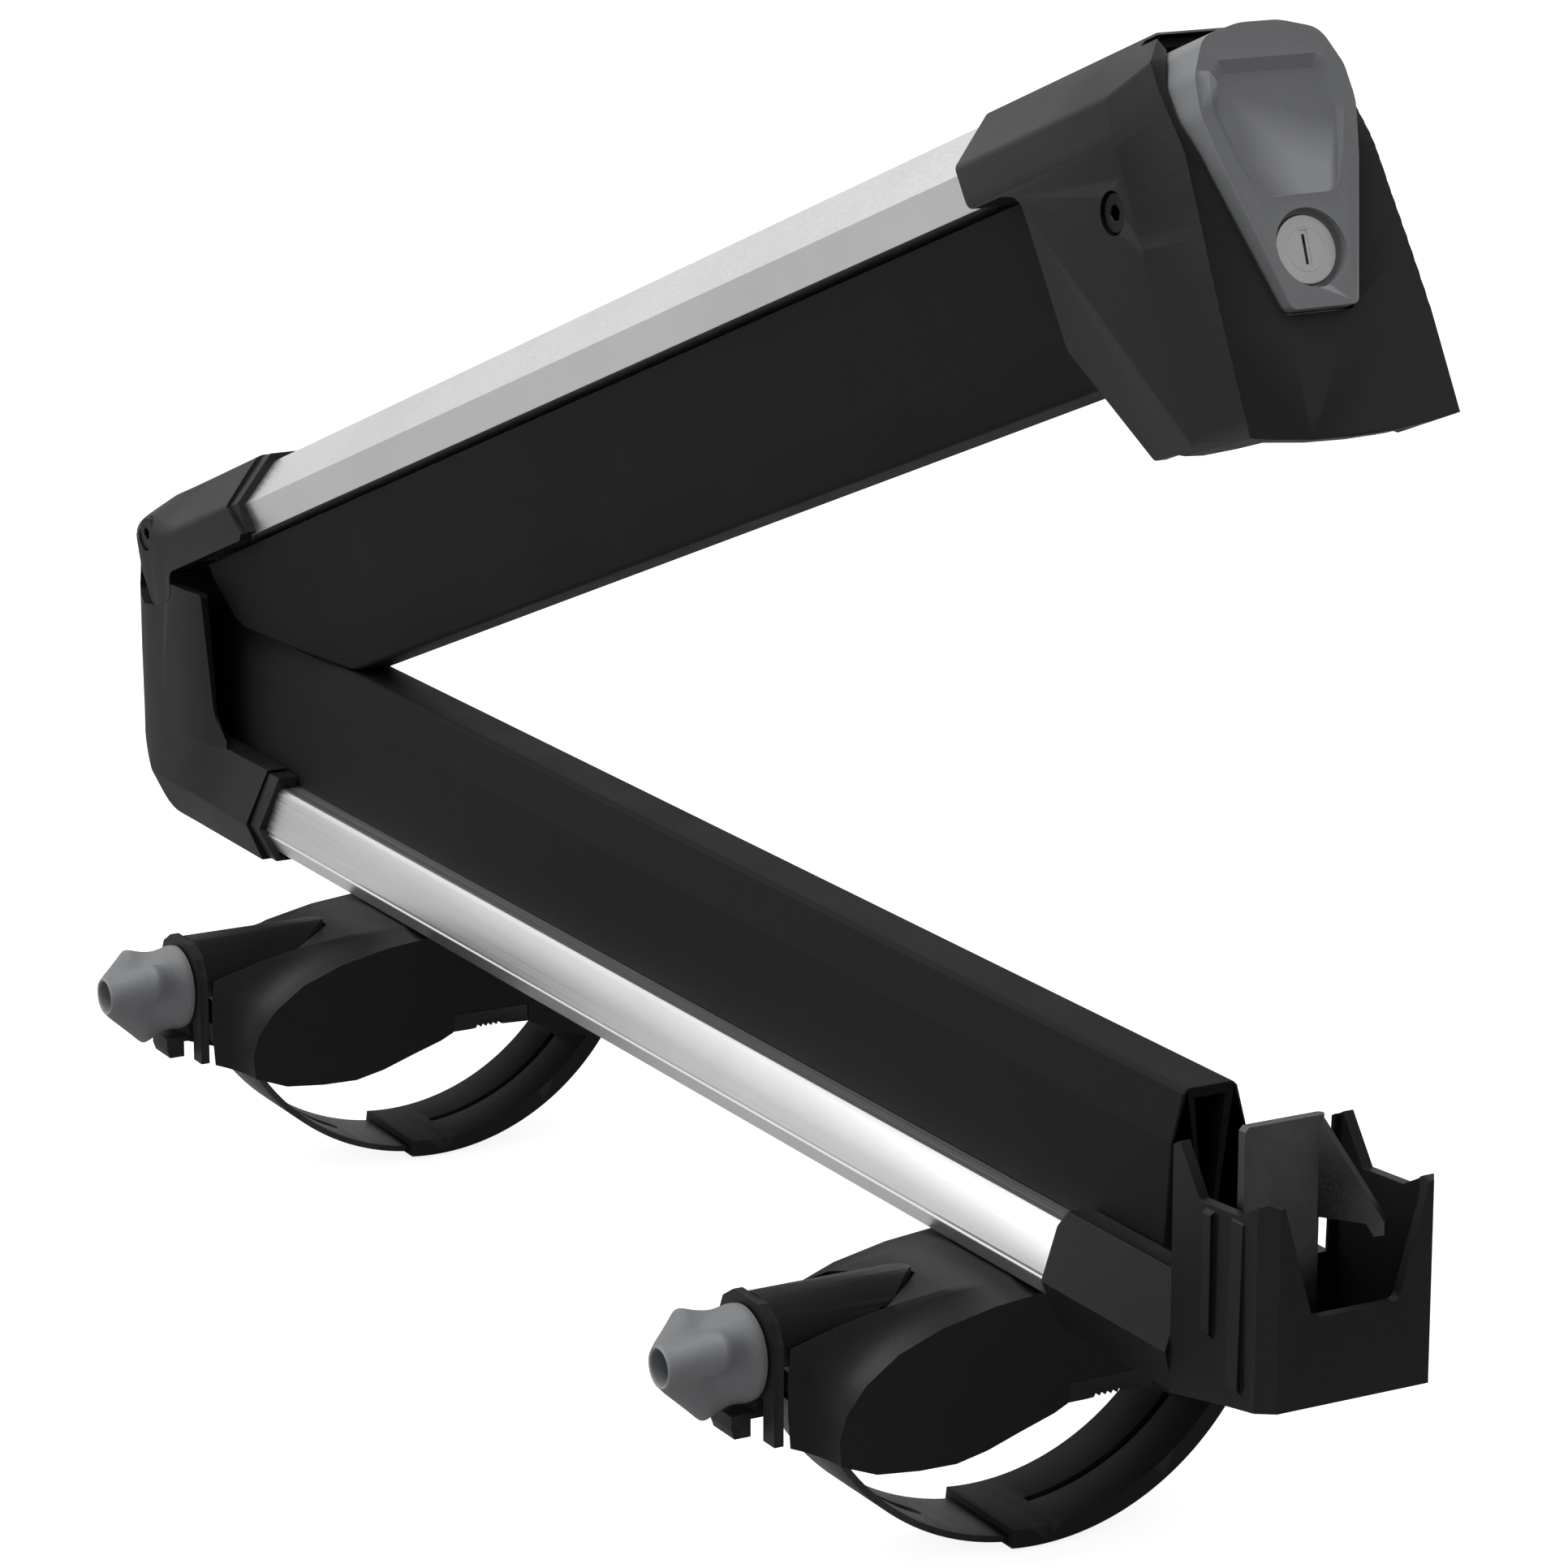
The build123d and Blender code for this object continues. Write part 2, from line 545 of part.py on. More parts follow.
def make_release_button():
    """Pressed at the top, it rocks on a pin at its foot and carries the lock."""
    with BuildPart() as button:
        with BuildSketch(ARM):
            polygon([(590.6, -50.0), (590.6, 12.0), (588.4, 19.0), (568.6, 19.0), (570.5, 12.0),
                     (577.6, -8.0), (577.6, -50.0)])
        extrude(amount=20, both=True)
        with BuildSketch(across(ARM, 560)):
            Rectangle(90, 160)
            polygon(button_outline(0), Mode.SUBTRACT)
        extrude(amount=40, mode=Mode.SUBTRACT)
        with BuildSketch(across(ARM, 560)):
            polygon(both_sides([(10.8, 15.4), (14.0, 9.0), (16.4, 0.4), (16.0, -11.0),
                                (14.0, -17.0)]))
        extrude(amount=28.0, mode=Mode.SUBTRACT)
        with BuildSketch(across(ARM, 590.0)):
            polygon(both_sides([(9.6, 12.4), (12.4, 8.0), (14.6, 0.4), (14.2, -11.0),
                                (12.4, -16.0)]))
        extrude(amount=2, mode=Mode.SUBTRACT)
        with BuildSketch(across(ARM, 588.6)):
            with Locations((0, LOCK_V)):
                Circle(8.5)
        extrude(amount=4, mode=Mode.SUBTRACT)
        with BuildSketch(across(ARM, 570)):
            with Locations((0, LOCK_V)):
                Circle(7.5)
        extrude(amount=20, mode=Mode.SUBTRACT)
        # foot tongue around the pin
        with BuildSketch(ARM):
            polygon([(577.6, -40), (585.6, -40), (585.0, BUTTON_V - 1), (BUTTON_U + 1, BUTTON_V - 3),
                     (BUTTON_U - 1.2, BUTTON_V - 2)])
        extrude(amount=7.6, both=True)
        with BuildSketch(across(ARM, 570)):
            with Locations((0, LOCK_V)):
                Circle(7.5)
        extrude(amount=20, mode=Mode.SUBTRACT)
        with BuildSketch(ARM):
            with Locations((BUTTON_U + 1, BUTTON_V)):
                Circle(1.5)
        extrude(amount=12, both=True, mode=Mode.SUBTRACT)
    save(button, "release_button")
    with BuildPart() as pin:
        with BuildSketch(ARM):
            with Locations((BUTTON_U + 1, BUTTON_V)):
                Circle(1.4)
        extrude(amount=11.7, both=True)
    save(pin, "button_pin")


def make_lock():
    with BuildPart() as barrel:
        with BuildSketch(across(ARM, 578.2)):
            with Locations((0, LOCK_V)):
                Circle(7.4)
                Circle(4.7, mode=Mode.SUBTRACT)
        extrude(amount=10.4)
    save(barrel, "lock_barrel")
    with BuildPart() as plug:
        with BuildSketch(across(ARM, 576.0)):
            with Locations((0, LOCK_V)):
                Circle(4.5)
        extrude(amount=12.8)
        with BuildSketch(across(ARM, 580.0)):
            with Locations((0, LOCK_V)):
                Rectangle(1.5, 6.4)
        extrude(amount=12, mode=Mode.SUBTRACT)
        # cam at the back
        with BuildSketch(across(ARM, 574.4)):
            with Locations((0, LOCK_V)):
                Circle(4.5)
            with Locations((0, LOCK_V + 3.4)):
                Rectangle(5, 6.8)
        extrude(amount=1.6)
    save(plug, "lock_plug")


def make_pawl():
    """Hook that swings on the cross bolt and catches under the strike's barb."""
    with BuildPart() as pawl:
        with BuildSketch(at_y(ARM, 6.0)):
            polygon([(566.8, -13.0), (570.6, -30.0), (573.6, -61.9), (577.6, -62.1),
                     (577.2, -65.4), (570.2, -66.0), (567.2, -42.0), (556.2, -16.0)])
            with Locations((PAWL_U, PAWL_V)):
                Circle(5.6)
                Circle(2.55, mode=Mode.SUBTRACT)
        extrude(amount=-2.5)
    save(pawl, "latch_pawl")
    with BuildPart() as spring:
        with BuildSketch(at_y(ARM, 4.6)):
            with Locations((PAWL_U, PAWL_V)):
                Circle(4.6)
                Circle(3.4, mode=Mode.SUBTRACT)
        extrude(amount=9.0)
        with BuildSketch(at_y(ARM, 4.6)):
            polygon([(PAWL_U - 1, PAWL_V + 3.6), (PAWL_U + 0.2, PAWL_V + 3.6),
                     (PAWL_U - 4, PAWL_V + 20), (PAWL_U - 5.2, PAWL_V + 20)])
        extrude(amount=1.2)
    save(spring, "pawl_spring")


# ---- feet ----
BELLY = [
    (-39.2, -11.0), (-31.0, -9.1), (-13.4, -4.0), (-9.7, -1.8), (13.4, -2.0), (16.4, -3.7),
    (17.4, -4.2), (33.6, -9.4), (39.0, -11.0), (45.0, -8.0), (50.0, 1.0), (54.5, 9.0),
    (55.0, 17.0), (49.0, 24.0), (38.0, 27.2),
]
MIDDLE_OUTLINE = BELLY + [(-20.0, 27.2), (-36.0, 27.0), (-58.0, 24.5), (-76.0, 20.0),
                          (-76.0, -4.2)]
FLANK_OUTLINE = BELLY + [(-18.2, 26.2), (-38.5, 24.4), (-60.5, 17.4), (-69.8, 3.7),
                         (-69.2, -5.6)]


def across_foot(x0, x):
    return across(BASE, x0 + x)


def make_foot_body(side, x0):
    """Wedge under the rail with a screw channel in its long nose and a strap slot behind."""
    with BuildPart() as body:
        with BuildSketch(across_foot(x0, -14)):
            polygon(MIDDLE_OUTLINE)
        extrude(amount=28)
        for hand in (1, -1):
            with BuildSketch(across_foot(x0, hand * 13.99)):
                polygon(MIDDLE_OUTLINE)
            with BuildSketch(across_foot(x0, hand * FOOT_HALF)):
                polygon(FLANK_OUTLINE)
            loft(ruled=True)
        # screw channel, open below and in front
        with BuildSketch(flat(BASE, -20)):
            with Locations((x0, -70)):
                Rectangle(27.2, 40)
        extrude(amount=60, mode=Mode.SUBTRACT)
        with BuildSketch(flat(BASE, 23.8)):
            polygon([(x0 - 13.6, -51), (x0 + 13.6, -51), (x0 + 0.6, -36.2), (x0 - 0.6, -36.2)])
        extrude(amount=10, mode=Mode.SUBTRACT)
        # slot for the strap
        with BuildSketch(across_foot(x0, 0)):
            polygon([(26, -20), (60, -20), (60, 18.6), (26, 18.6)])
            with Locations((STRAP_Y, STRAP_Z)):
                Circle(57.2, mode=Mode.SUBTRACT)
            with Locations((48.1, 14.2)):
                Circle(4.3)
        extrude(amount=16, both=True, mode=Mode.SUBTRACT)
        with BuildSketch(across_foot(x0, 0)):
            with Locations((48.1, 14.2)):
                Circle(1.75)
        extrude(amount=21, both=True, mode=Mode.SUBTRACT)
        # pad seat, bolt hole and nut pocket
        with BuildSketch(across_foot(x0, 0)):
            polygon([(-9.7, -9), (13.4, -9), (13.4, 3.2), (-9.7, 3.2)])
        extrude(amount=40, both=True, mode=Mode.SUBTRACT)
        with BuildSketch(flat(BASE, 0)):
            with Locations((x0, 1.8)):
                Circle(4.2)
        extrude(amount=30, mode=Mode.SUBTRACT)
        with BuildSketch(flat(BASE, 0)):
            with Locations((x0, 1.8)):
                Circle(7.6)
        extrude(amount=12, mode=Mode.SUBTRACT)
    save(body, f"foot_body_{side}")


def make_saddle_pad(side, x0):
    """Toothed rubber block that sits on the load bar."""
    teeth = []
    for index in range(5):
        teeth.append((-2.6 + index * 1.56, -1.7))
        teeth.append((-1.8 + index * 1.56, -0.2))
    teeth.append((5.2, -1.6))
    with BuildPart() as pad:
        with BuildSketch(across_foot(x0, 0)):
            polygon([(-9.6, -1.8), (-4.4, -1.8)] + teeth + [(13.3, -2.0), (13.3, 3.1), (-9.6, 3.1)])
        extrude(amount=FOOT_HALF - 0.1, both=True)
        with BuildSketch(flat(BASE, -10)):
            with Locations((x0, 1.8)):
                Circle(7.6)
        extrude(amount=30, mode=Mode.SUBTRACT)
    save(pad, f"saddle_pad_{side}")


def make_rail_bolt(side, x0):
    """T-bolt that slides in the rail's lower slot, with its nut inside the foot."""
    with BuildPart() as bolt:
        with BuildSketch(Plane.XY.offset(30.1)):
            with Locations((x0, 1.8)):
                Rectangle(26, 14.6)
        extrude(amount=3.8)
        with BuildSketch(Plane.XY.offset(3.6)):
            with Locations((x0, 1.8)):
                Circle(3.0)
        extrude(amount=27)
    save(bolt, f"rail_bolt_{side}")
    with BuildPart() as nut:
        with BuildSketch(Plane.XY.offset(6.2)):
            with Locations((x0, 1.8)):
                RegularPolygon(6.0, 6)
                Circle(3.1, mode=Mode.SUBTRACT)
        extrude(amount=5.6)
    save(nut, f"rail_bolt_nut_{side}")


def make_screw_cover(side, x0):
    """Domed cover over the clamp screw, with the end plate the knob turns against."""
    axis_plane = Plane(origin=(x0, FLANGE_Y + 0.5, SCREW_Z), x_dir=(1, 0, 0), z_dir=(0, -1, 0))
    with BuildPart() as cover:
        with BuildSketch(axis_plane):
            Circle(13.3)
            with Locations((0, -20)):
                Rectangle(40, 40, mode=Mode.SUBTRACT)
        extrude(amount=-40)
        with BuildSketch(flat(BASE, 0)):
            polygon([(x0 + 13.3, -51), (x0 + 30, -51), (x0 + 30, -30), (x0, -30), (x0 + 0.3, -36.6)])
            polygon([(x0 - 13.3, -51), (x0 - 30, -51), (x0 - 30, -30), (x0, -30), (x0 - 0.3, -36.6)])
        extrude(amount=60, mode=Mode.SUBTRACT)
        with BuildSketch(flat(BASE, 0)):
            with Locations((x0, -40)):
                Rectangle(40, 22)
        extrude(amount=24.0, mode=Mode.SUBTRACT)
        with BuildSketch(axis_plane):
            Circle(11.4)
        extrude(amount=-26.4, mode=Mode.SUBTRACT)
        with BuildSketch(axis_plane):
            polygon([(-13.3, -19.0), (-8.0, -19.0), (-8.0, -9.0), (8.0, -9.0), (8.0, -19.0),
                     (13.3, -19.0), (13.3, 5.0), (11.0, 10.0), (6.0, 13.0), (-6.0, 13.0),
                     (-11.0, 10.0), (-13.3, 5.0)])
        extrude(amount=2.4)
        with BuildSketch(axis_plane):
            Circle(3.3)
        extrude(amount=5, both=True, mode=Mode.SUBTRACT)
        # strap-end lock under the knob
        with BuildSketch(across_foot(x0, 0)):
            polygon([(-78.2, 7.5), (-79.9, 7.5), (-79.9, 2.4), (-86.4, 2.4), (-86.4, -1.0),
                     (-85.6, -3.2), (-81.4, -3.2), (-81.4, 1.0), (-78.2, 1.0)])
        extrude(amount=5.0, both=True)
    save(cover, f"screw_cover_{side}")


def make_knob(side, x0):
    """Three-lobed grip and the clamp screw it turns."""
    grip = Plane(origin=(x0, -80.3, SCREW_Z), x_dir=(1, 0, 0), z_dir=(0, -1, 0))
    with BuildPart() as knob:
        with BuildSketch(grip):
            Circle(10.6)
            with PolarLocations(7.9, 3, start_angle=-90):
                Circle(4.5)
        extrude(amount=21.7, taper=-3)
        fillet(knob.edges().group_by(Axis.Y)[0], 1.6)
        with BuildSketch(grip):
            Circle(3.05)
        extrude(amount=10, mode=Mode.SUBTRACT)
        with BuildSketch(grip.offset(12)):
            Circle(3.5)
        extrude(amount=12, mode=Mode.SUBTRACT)
    save(knob, f"knob_{side}")
    with BuildPart() as screw:
        with BuildSketch(grip.offset(9.9)):
            Circle(3.0)
        extrude(amount=-37.0)
    save(screw, f"clamp_screw_{side}")


def make_carriage(side, x0):
    """Nut block the clamp screw pulls along the channel."""
    block = Plane(origin=(x0, -70.0, SCREW_Z), x_dir=(1, 0, 0), z_dir=(0, 1, 0))
    with BuildPart() as carriage:
        with BuildSketch(block):
            Circle(10.8)
            Circle(3.3, mode=Mode.SUBTRACT)
            with Locations((0, 13)):
                Rectangle(30, 13, mode=Mode.SUBTRACT)
            with Locations((0, -13)):
                Rectangle(30, 13, mode=Mode.SUBTRACT)
        extrude(amount=9)
    save(carriage, f"strap_carriage_{side}")


def make_strap(side, x0):
    """Steel band from the anchor pin, under the load bar, up to the carriage."""
    with BuildPart() as band:
        with BuildSketch(across_foot(x0, 0)):
            with BuildLine():
                outer = CenterArc((STRAP_Y, STRAP_Z), STRAP_RADIUS, 200.5, 150)
                inner = CenterArc((STRAP_Y, STRAP_Z), STRAP_RADIUS - BAND_THICK, 200.5, 150)
                Line(outer @ 0, inner @ 0)
                Line(outer @ 1, inner @ 1)
            make_face()
            with Locations((48.1, 14.2)):
                Circle(3.6)
                Circle(1.85, mode=Mode.SUBTRACT)
        extrude(amount=BAND_HALF, both=True)
        with BuildSketch(flat(BASE, -50)):
            with Locations((x0, -43)):
                SlotOverall(18, 5, rotation=90)
        extrude(amount=40, mode=Mode.SUBTRACT)
    save(band, f"strap_band_{side}")
    with BuildPart() as sleeve:
        with BuildSketch(across_foot(x0, 0)):
            with BuildLine():
                outer = CenterArc((STRAP_Y, STRAP_Z), 63.9, 263, 74)
                inner = CenterArc((STRAP_Y, STRAP_Z), 59.4, 263, 74)
                Line(outer @ 0, inner @ 0)
                Line(outer @ 1, inner @ 1)
            make_face()
        extrude(amount=15.4, both=True)
        with BuildSketch(across_foot(x0, 0)):
            with BuildLine():
                outer = CenterArc((STRAP_Y, STRAP_Z), STRAP_RADIUS + 0.15, 262, 80)
                inner = CenterArc((STRAP_Y, STRAP_Z), STRAP_RADIUS - BAND_THICK - 0.15, 262, 80)
                Line(outer @ 0, inner @ 0)
                Line(outer @ 1, inner @ 1)
            make_face()
        extrude(amount=BAND_HALF + 0.15, both=True, mode=Mode.SUBTRACT)
        with BuildSketch(across_foot(x0, 0)):
            with BuildLine():
                outer = CenterArc((STRAP_Y, STRAP_Z), STRAP_RADIUS - BAND_THICK, 275, 43)
                inner = CenterArc((STRAP_Y, STRAP_Z), 57, 275, 43)
                Line(outer @ 0, inner @ 0)
                Line(outer @ 1, inner @ 1)
            make_face()
        extrude(amount=1.2, both=True, mode=Mode.SUBTRACT)
    save(sleeve, f"strap_sleeve_{side}")
    with BuildPart() as pin:
        with BuildSketch(across_foot(x0, 0)):
            with Locations((48.1, 14.2)):
                Circle(1.7)
        extrude(amount=20.8, both=True)
    save(pin, f"strap_pin_{side}")


make_lower_rail()
make_lower_rubber()
make_hinge_bracket()
make_bracket_trim()
make_catch_housing()
make_strike_plate()
make_strike_screws()
make_rail_screws()
make_upper_rail()
make_upper_rubber()
make_hinge_cap()
make_cap_trim()
make_hinge_pin()
socket_bolt("cap_bolt", ARM, -4.6, 14.2, -22.6, 4.7, 2.45, 20.0)
make_latch_housing()
socket_bolt("latch_cross_bolt", ARM, PAWL_U, PAWL_V, -26.9, 4.3, 2.5, 52.0)
make_release_button()
make_lock()
make_pawl()
for foot_side, foot_x in FEET.items():
    make_foot_body(foot_side, foot_x)
    make_saddle_pad(foot_side, foot_x)
    make_rail_bolt(foot_side, foot_x)
    make_screw_cover(foot_side, foot_x)
    make_knob(foot_side, foot_x)
    make_carriage(foot_side, foot_x)
    make_strap(foot_side, foot_x)
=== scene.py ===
from math import cos, pi, radians, sin, tan

import bmesh
import bpy
from mathutils import Matrix, Vector


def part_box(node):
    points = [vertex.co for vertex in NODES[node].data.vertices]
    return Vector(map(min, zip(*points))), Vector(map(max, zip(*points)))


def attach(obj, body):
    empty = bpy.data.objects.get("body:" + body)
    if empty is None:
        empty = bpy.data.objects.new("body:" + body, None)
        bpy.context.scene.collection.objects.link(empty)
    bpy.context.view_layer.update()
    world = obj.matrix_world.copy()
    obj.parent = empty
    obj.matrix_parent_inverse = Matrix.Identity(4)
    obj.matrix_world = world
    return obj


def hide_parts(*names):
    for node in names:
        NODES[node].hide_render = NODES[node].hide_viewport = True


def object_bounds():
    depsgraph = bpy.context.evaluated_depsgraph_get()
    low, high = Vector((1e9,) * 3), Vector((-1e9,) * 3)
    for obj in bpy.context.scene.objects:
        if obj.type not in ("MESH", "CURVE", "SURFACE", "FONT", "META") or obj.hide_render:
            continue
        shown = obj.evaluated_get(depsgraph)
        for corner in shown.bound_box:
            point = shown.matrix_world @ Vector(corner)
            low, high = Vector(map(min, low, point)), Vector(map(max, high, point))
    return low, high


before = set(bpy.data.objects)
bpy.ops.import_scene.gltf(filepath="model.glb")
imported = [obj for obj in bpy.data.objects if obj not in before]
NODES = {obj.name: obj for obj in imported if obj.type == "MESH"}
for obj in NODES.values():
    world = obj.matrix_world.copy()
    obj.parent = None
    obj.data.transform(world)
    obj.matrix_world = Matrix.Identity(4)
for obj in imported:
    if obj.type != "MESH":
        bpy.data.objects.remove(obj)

CAD_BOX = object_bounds()
OPEN = radians(20.74)                      # the arm's angle as drawn
MM = 1000                                  # millimetres in a metre
PIVOT = Vector((-0.304, 0.0, 0.094))
ALONG = Vector((cos(OPEN), 0.0, sin(OPEN)))
UP = Vector((-sin(OPEN), 0.0, cos(OPEN)))


def base_point(x, z, y):
    """A point of the lower half, in millimetres."""
    return Vector((x, y, z)) / MM


def arm_point(u, v, y):
    """A point of the arm: u along it and v up from the hinge pin, in millimetres."""
    return PIVOT + (ALONG * u + UP * v) / MM + Vector((0, y / MM, 0))


# ---- camera ----
camera_data = bpy.data.cameras.new("camera")
camera = bpy.data.objects.new("camera", camera_data)
bpy.context.collection.objects.link(camera)
camera.location = (1.244, -0.6705, 0.4805)
PITCH = radians(15.076)
HEADING = Vector((-0.8746, 0.4849, 0)).normalized()
look = HEADING * cos(PITCH) + Vector((0, 0, -sin(PITCH)))
camera.rotation_euler = look.to_track_quat("-Z", "Y").to_euler()
camera_data.lens = 133.23
camera_data.sensor_width = 36
camera_data.clip_start = 0.01
bpy.context.scene.camera = camera


# ---- materials ----
class Shader:
    """Small helper that wires a Principled material node by node."""

    def __init__(self, name):
        self.material = bpy.data.materials.new(name)
        self.material.use_nodes = True
        self.tree = self.material.node_tree
        self.shader = self.tree.nodes["Principled BSDF"]
        self.coords = self.tree.nodes.new("ShaderNodeTexCoord").outputs["Object"]

    def set(self, **values):
        for key, value in values.items():
            self.shader.inputs[key.replace("_", " ")].default_value = value

    def node(self, kind, **values):
        node = self.tree.nodes.new(kind)
        for key, value in values.items():
            if key in node.inputs:
                node.inputs[key].default_value = value
            else:
                setattr(node, key, value)
        return node

    def link(self, source, target):
        self.tree.links.new(source, target)

    def mapped(self, scale, turn):
        mapping = self.node("ShaderNodeMapping")
        mapping.inputs["Rotation"].default_value = (0, turn, 0)
        mapping.inputs["Scale"].default_value = scale
        self.link(self.coords, mapping.inputs["Vector"])
        return mapping.outputs["Vector"]

    def noise(self, scale, detail=3.0, vector=None):
        noise = self.node("ShaderNodeTexNoise", Scale=scale, Detail=detail, Roughness=0.55)
        self.link(vector or self.coords, noise.inputs["Vector"])
        return noise.outputs["Fac"]

    def ramp(self, value, low, high, start=0.3, end=0.7):
        ramp = self.node("ShaderNodeMapRange")
        ramp.inputs["From Min"].default_value = start
        ramp.inputs["From Max"].default_value = end
        ramp.inputs["To Min"].default_value = low
        ramp.inputs["To Max"].default_value = high
        self.link(value, ramp.inputs["Value"])
        return ramp.outputs["Result"]

    def mix(self, factor, a, b):
        mix = self.node("ShaderNodeMix", data_type="RGBA")
        mix.inputs["A"].default_value = (*a, 1)
        mix.inputs["B"].default_value = (*b, 1)
        self.link(factor, mix.inputs["Factor"])
        return mix.outputs["Result"]

    def edges(self):
        """How much a point sits on a sharp outer edge, where a painted highlight lightens the
        plastic.
        """
        geometry = self.node("ShaderNodeNewGeometry")
        return self.ramp(geometry.outputs["Pointiness"], 0.0, 1.0, 0.51, 0.62)

    def colour(self, output):
        self.link(output, self.shader.inputs["Base Color"])

    def rough(self, output):
        self.link(output, self.shader.inputs["Roughness"])

    def bump(self, layers):
        normal = None
        for height, strength, distance in layers:
            bump = self.node("ShaderNodeBump", Strength=strength, Distance=distance)
            self.link(height, bump.inputs["Height"])
            if normal:
                self.link(normal, bump.inputs["Normal"])
            normal = bump.outputs["Normal"]
        self.link(normal, self.shader.inputs["Normal"])


def moulded(name, dark, light, rough, grain=1400.0, strength=0.25, speckle=None):
    """Injection-moulded plastic with a spark-eroded grain."""
    s = Shader(name)
    cloud = s.noise(28.0, 4.0)
    fine = s.noise(grain, 2.0)
    blend = s.node("ShaderNodeMath", operation="MULTIPLY_ADD")
    s.link(fine, blend.inputs[0])
    blend.inputs[1].default_value = 0.5
    s.link(s.ramp(cloud, 0.0, 0.5), blend.inputs[2])
    tone = s.mix(blend.outputs[0], dark, light)
    if speckle:
        spots = s.noise(speckle[0], 1.0)
        mix = s.node("ShaderNodeMix", data_type="RGBA")
        s.link(s.ramp(spots, 0.0, 1.0, 0.56, 0.66), mix.inputs["Factor"])
        s.link(tone, mix.inputs["A"])
        mix.inputs["B"].default_value = (*speckle[1], 1)
        tone = mix.outputs["Result"]
    # painted highlight: sharp outer edges are lightened towards 1.7 times the light tone
    edge_highlight_tone = s.node("ShaderNodeMix", data_type="RGBA")
    s.link(s.edges(), edge_highlight_tone.inputs["Factor"])
    s.link(tone, edge_highlight_tone.inputs["A"])
    edge_highlight_tone.inputs["B"].default_value = (*[min(1, c * 1.7 + 0.01) for c in light], 1)
    s.colour(edge_highlight_tone.outputs["Result"])
    s.rough(s.ramp(cloud, rough - 0.05, rough + 0.06))
    s.set(Specular_IOR_Level=0.24)
    s.bump([(fine, strength, 0.00012), (cloud, 0.1, 0.0004)])
    return s.material


def extruded_rubber(name, turn):
    """Matte EPDM with faint die lines along the profile."""
    s = Shader(name)
    lines = s.noise(1.0, 2.0, vector=s.mapped((6, 900, 900), turn))
    cloud = s.noise(24.0, 4.0)
    fine = s.noise(2300.0, 1.0)
    s.colour(s.mix(s.ramp(cloud, 0.0, 1.0), (0.004, 0.004, 0.0042), (0.0065, 0.0065, 0.0068)))
    s.rough(s.ramp(cloud, 0.58, 0.70))
    s.set(Specular_IOR_Level=0.16)
    s.bump([(lines, 0.10, 0.00008), (fine, 0.12, 0.00006)])
    return s.material


def anodised(name, turn):
    """Clear anodised extrusion, drawn lines along its length."""
    s = Shader(name)
    lines = s.noise(1.0, 3.0, vector=s.mapped((2.5, 1500, 1500), turn))
    cloud = s.noise(16.0, 4.0)
    s.colour(s.mix(s.ramp(cloud, 0.0, 1.0), (0.80, 0.80, 0.81), (0.88, 0.88, 0.885)))
    s.rough(s.ramp(lines, 0.30, 0.40))
    s.set(Metallic=1.0)
    s.bump([(lines, 0.05, 0.00005)])
    return s.material


def metal(name, dark, light, rough, scale=300.0, relief=0.12):
    """Plated, blackened or plain steel with a faint grain."""
    s = Shader(name)
    cloud = s.noise(60.0, 4.0)
    fine = s.noise(scale * 6, 2.0)
    s.colour(s.mix(s.ramp(cloud, 0.0, 1.0), dark, light))
    s.rough(s.ramp(fine, rough - 0.06, rough + 0.08))
    s.set(Metallic=1.0)
    s.bump([(fine, relief, 0.00004), (cloud, relief * 0.6, 0.0002)])
    return s.material


BLACK = moulded("black_nylon", (0.0030, 0.0030, 0.0032), (0.0050, 0.0050, 0.0053), 0.44)
GREY = moulded("grey_nylon", (0.155, 0.158, 0.163), (0.19, 0.193, 0.198), 0.5, 1600.0, 0.3,
               (4200.0, (0.20, 0.21, 0.222)))
RUBBER_LOWER = extruded_rubber("rubber_lower", 0.0)
RUBBER_UPPER = extruded_rubber("rubber_upper", OPEN)
SOFT_BLACK = moulded("soft_black", (0.008, 0.008, 0.0085), (0.012, 0.012, 0.0125), 0.62)
ALU_LOWER = anodised("aluminium_lower", 0.0)
ALU_UPPER = anodised("aluminium_upper", OPEN)
ZINC = metal("zinc_plated", (0.42, 0.42, 0.43), (0.58, 0.58, 0.585), 0.34)
DARK_STEEL = metal("dark_steel", (0.07, 0.07, 0.073), (0.11, 0.11, 0.113), 0.42)
BLACK_STEEL = metal("black_oxide", (0.012, 0.012, 0.013), (0.03, 0.03, 0.031), 0.38)
BAND = metal("strap_steel", (0.05, 0.05, 0.052), (0.10, 0.10, 0.102), 0.46, 420.0, 0.3)
LOCK = metal("lock_plating", (0.62, 0.62, 0.63), (0.68, 0.68, 0.685), 0.42, 120.0, 0.02)

FINISH = {
    "lower_rail": ALU_LOWER, "upper_rail": ALU_UPPER,
    "lower_rubber": RUBBER_LOWER, "upper_rubber": RUBBER_UPPER,
    "strike_plate": DARK_STEEL, "latch_pawl": DARK_STEEL,
    "release_button": GREY, "lock_barrel": LOCK, "lock_plug": LOCK,
    "cap_bolt": BLACK_STEEL, "latch_cross_bolt": BLACK_STEEL,
    "hinge_pin": ZINC, "button_pin": ZINC, "pawl_spring": ZINC,
    "strike_screws": ZINC, "rail_screws": BLACK_STEEL, "rail_nut_strips": ZINC,
}
for side in ("near", "far"):
    FINISH[f"knob_{side}"] = GREY
    FINISH[f"saddle_pad_{side}"] = SOFT_BLACK
    FINISH[f"strap_sleeve_{side}"] = SOFT_BLACK
    FINISH[f"strap_band_{side}"] = BAND
    for name in ("rail_bolt", "rail_bolt_nut", "clamp_screw", "strap_carriage", "strap_pin"):
        FINISH[f"{name}_{side}"] = ZINC
WIDE_BEVEL = {"lower_rubber": 0.6, "catch_housing": 0.6}
SMALL_BEVEL = 0.3


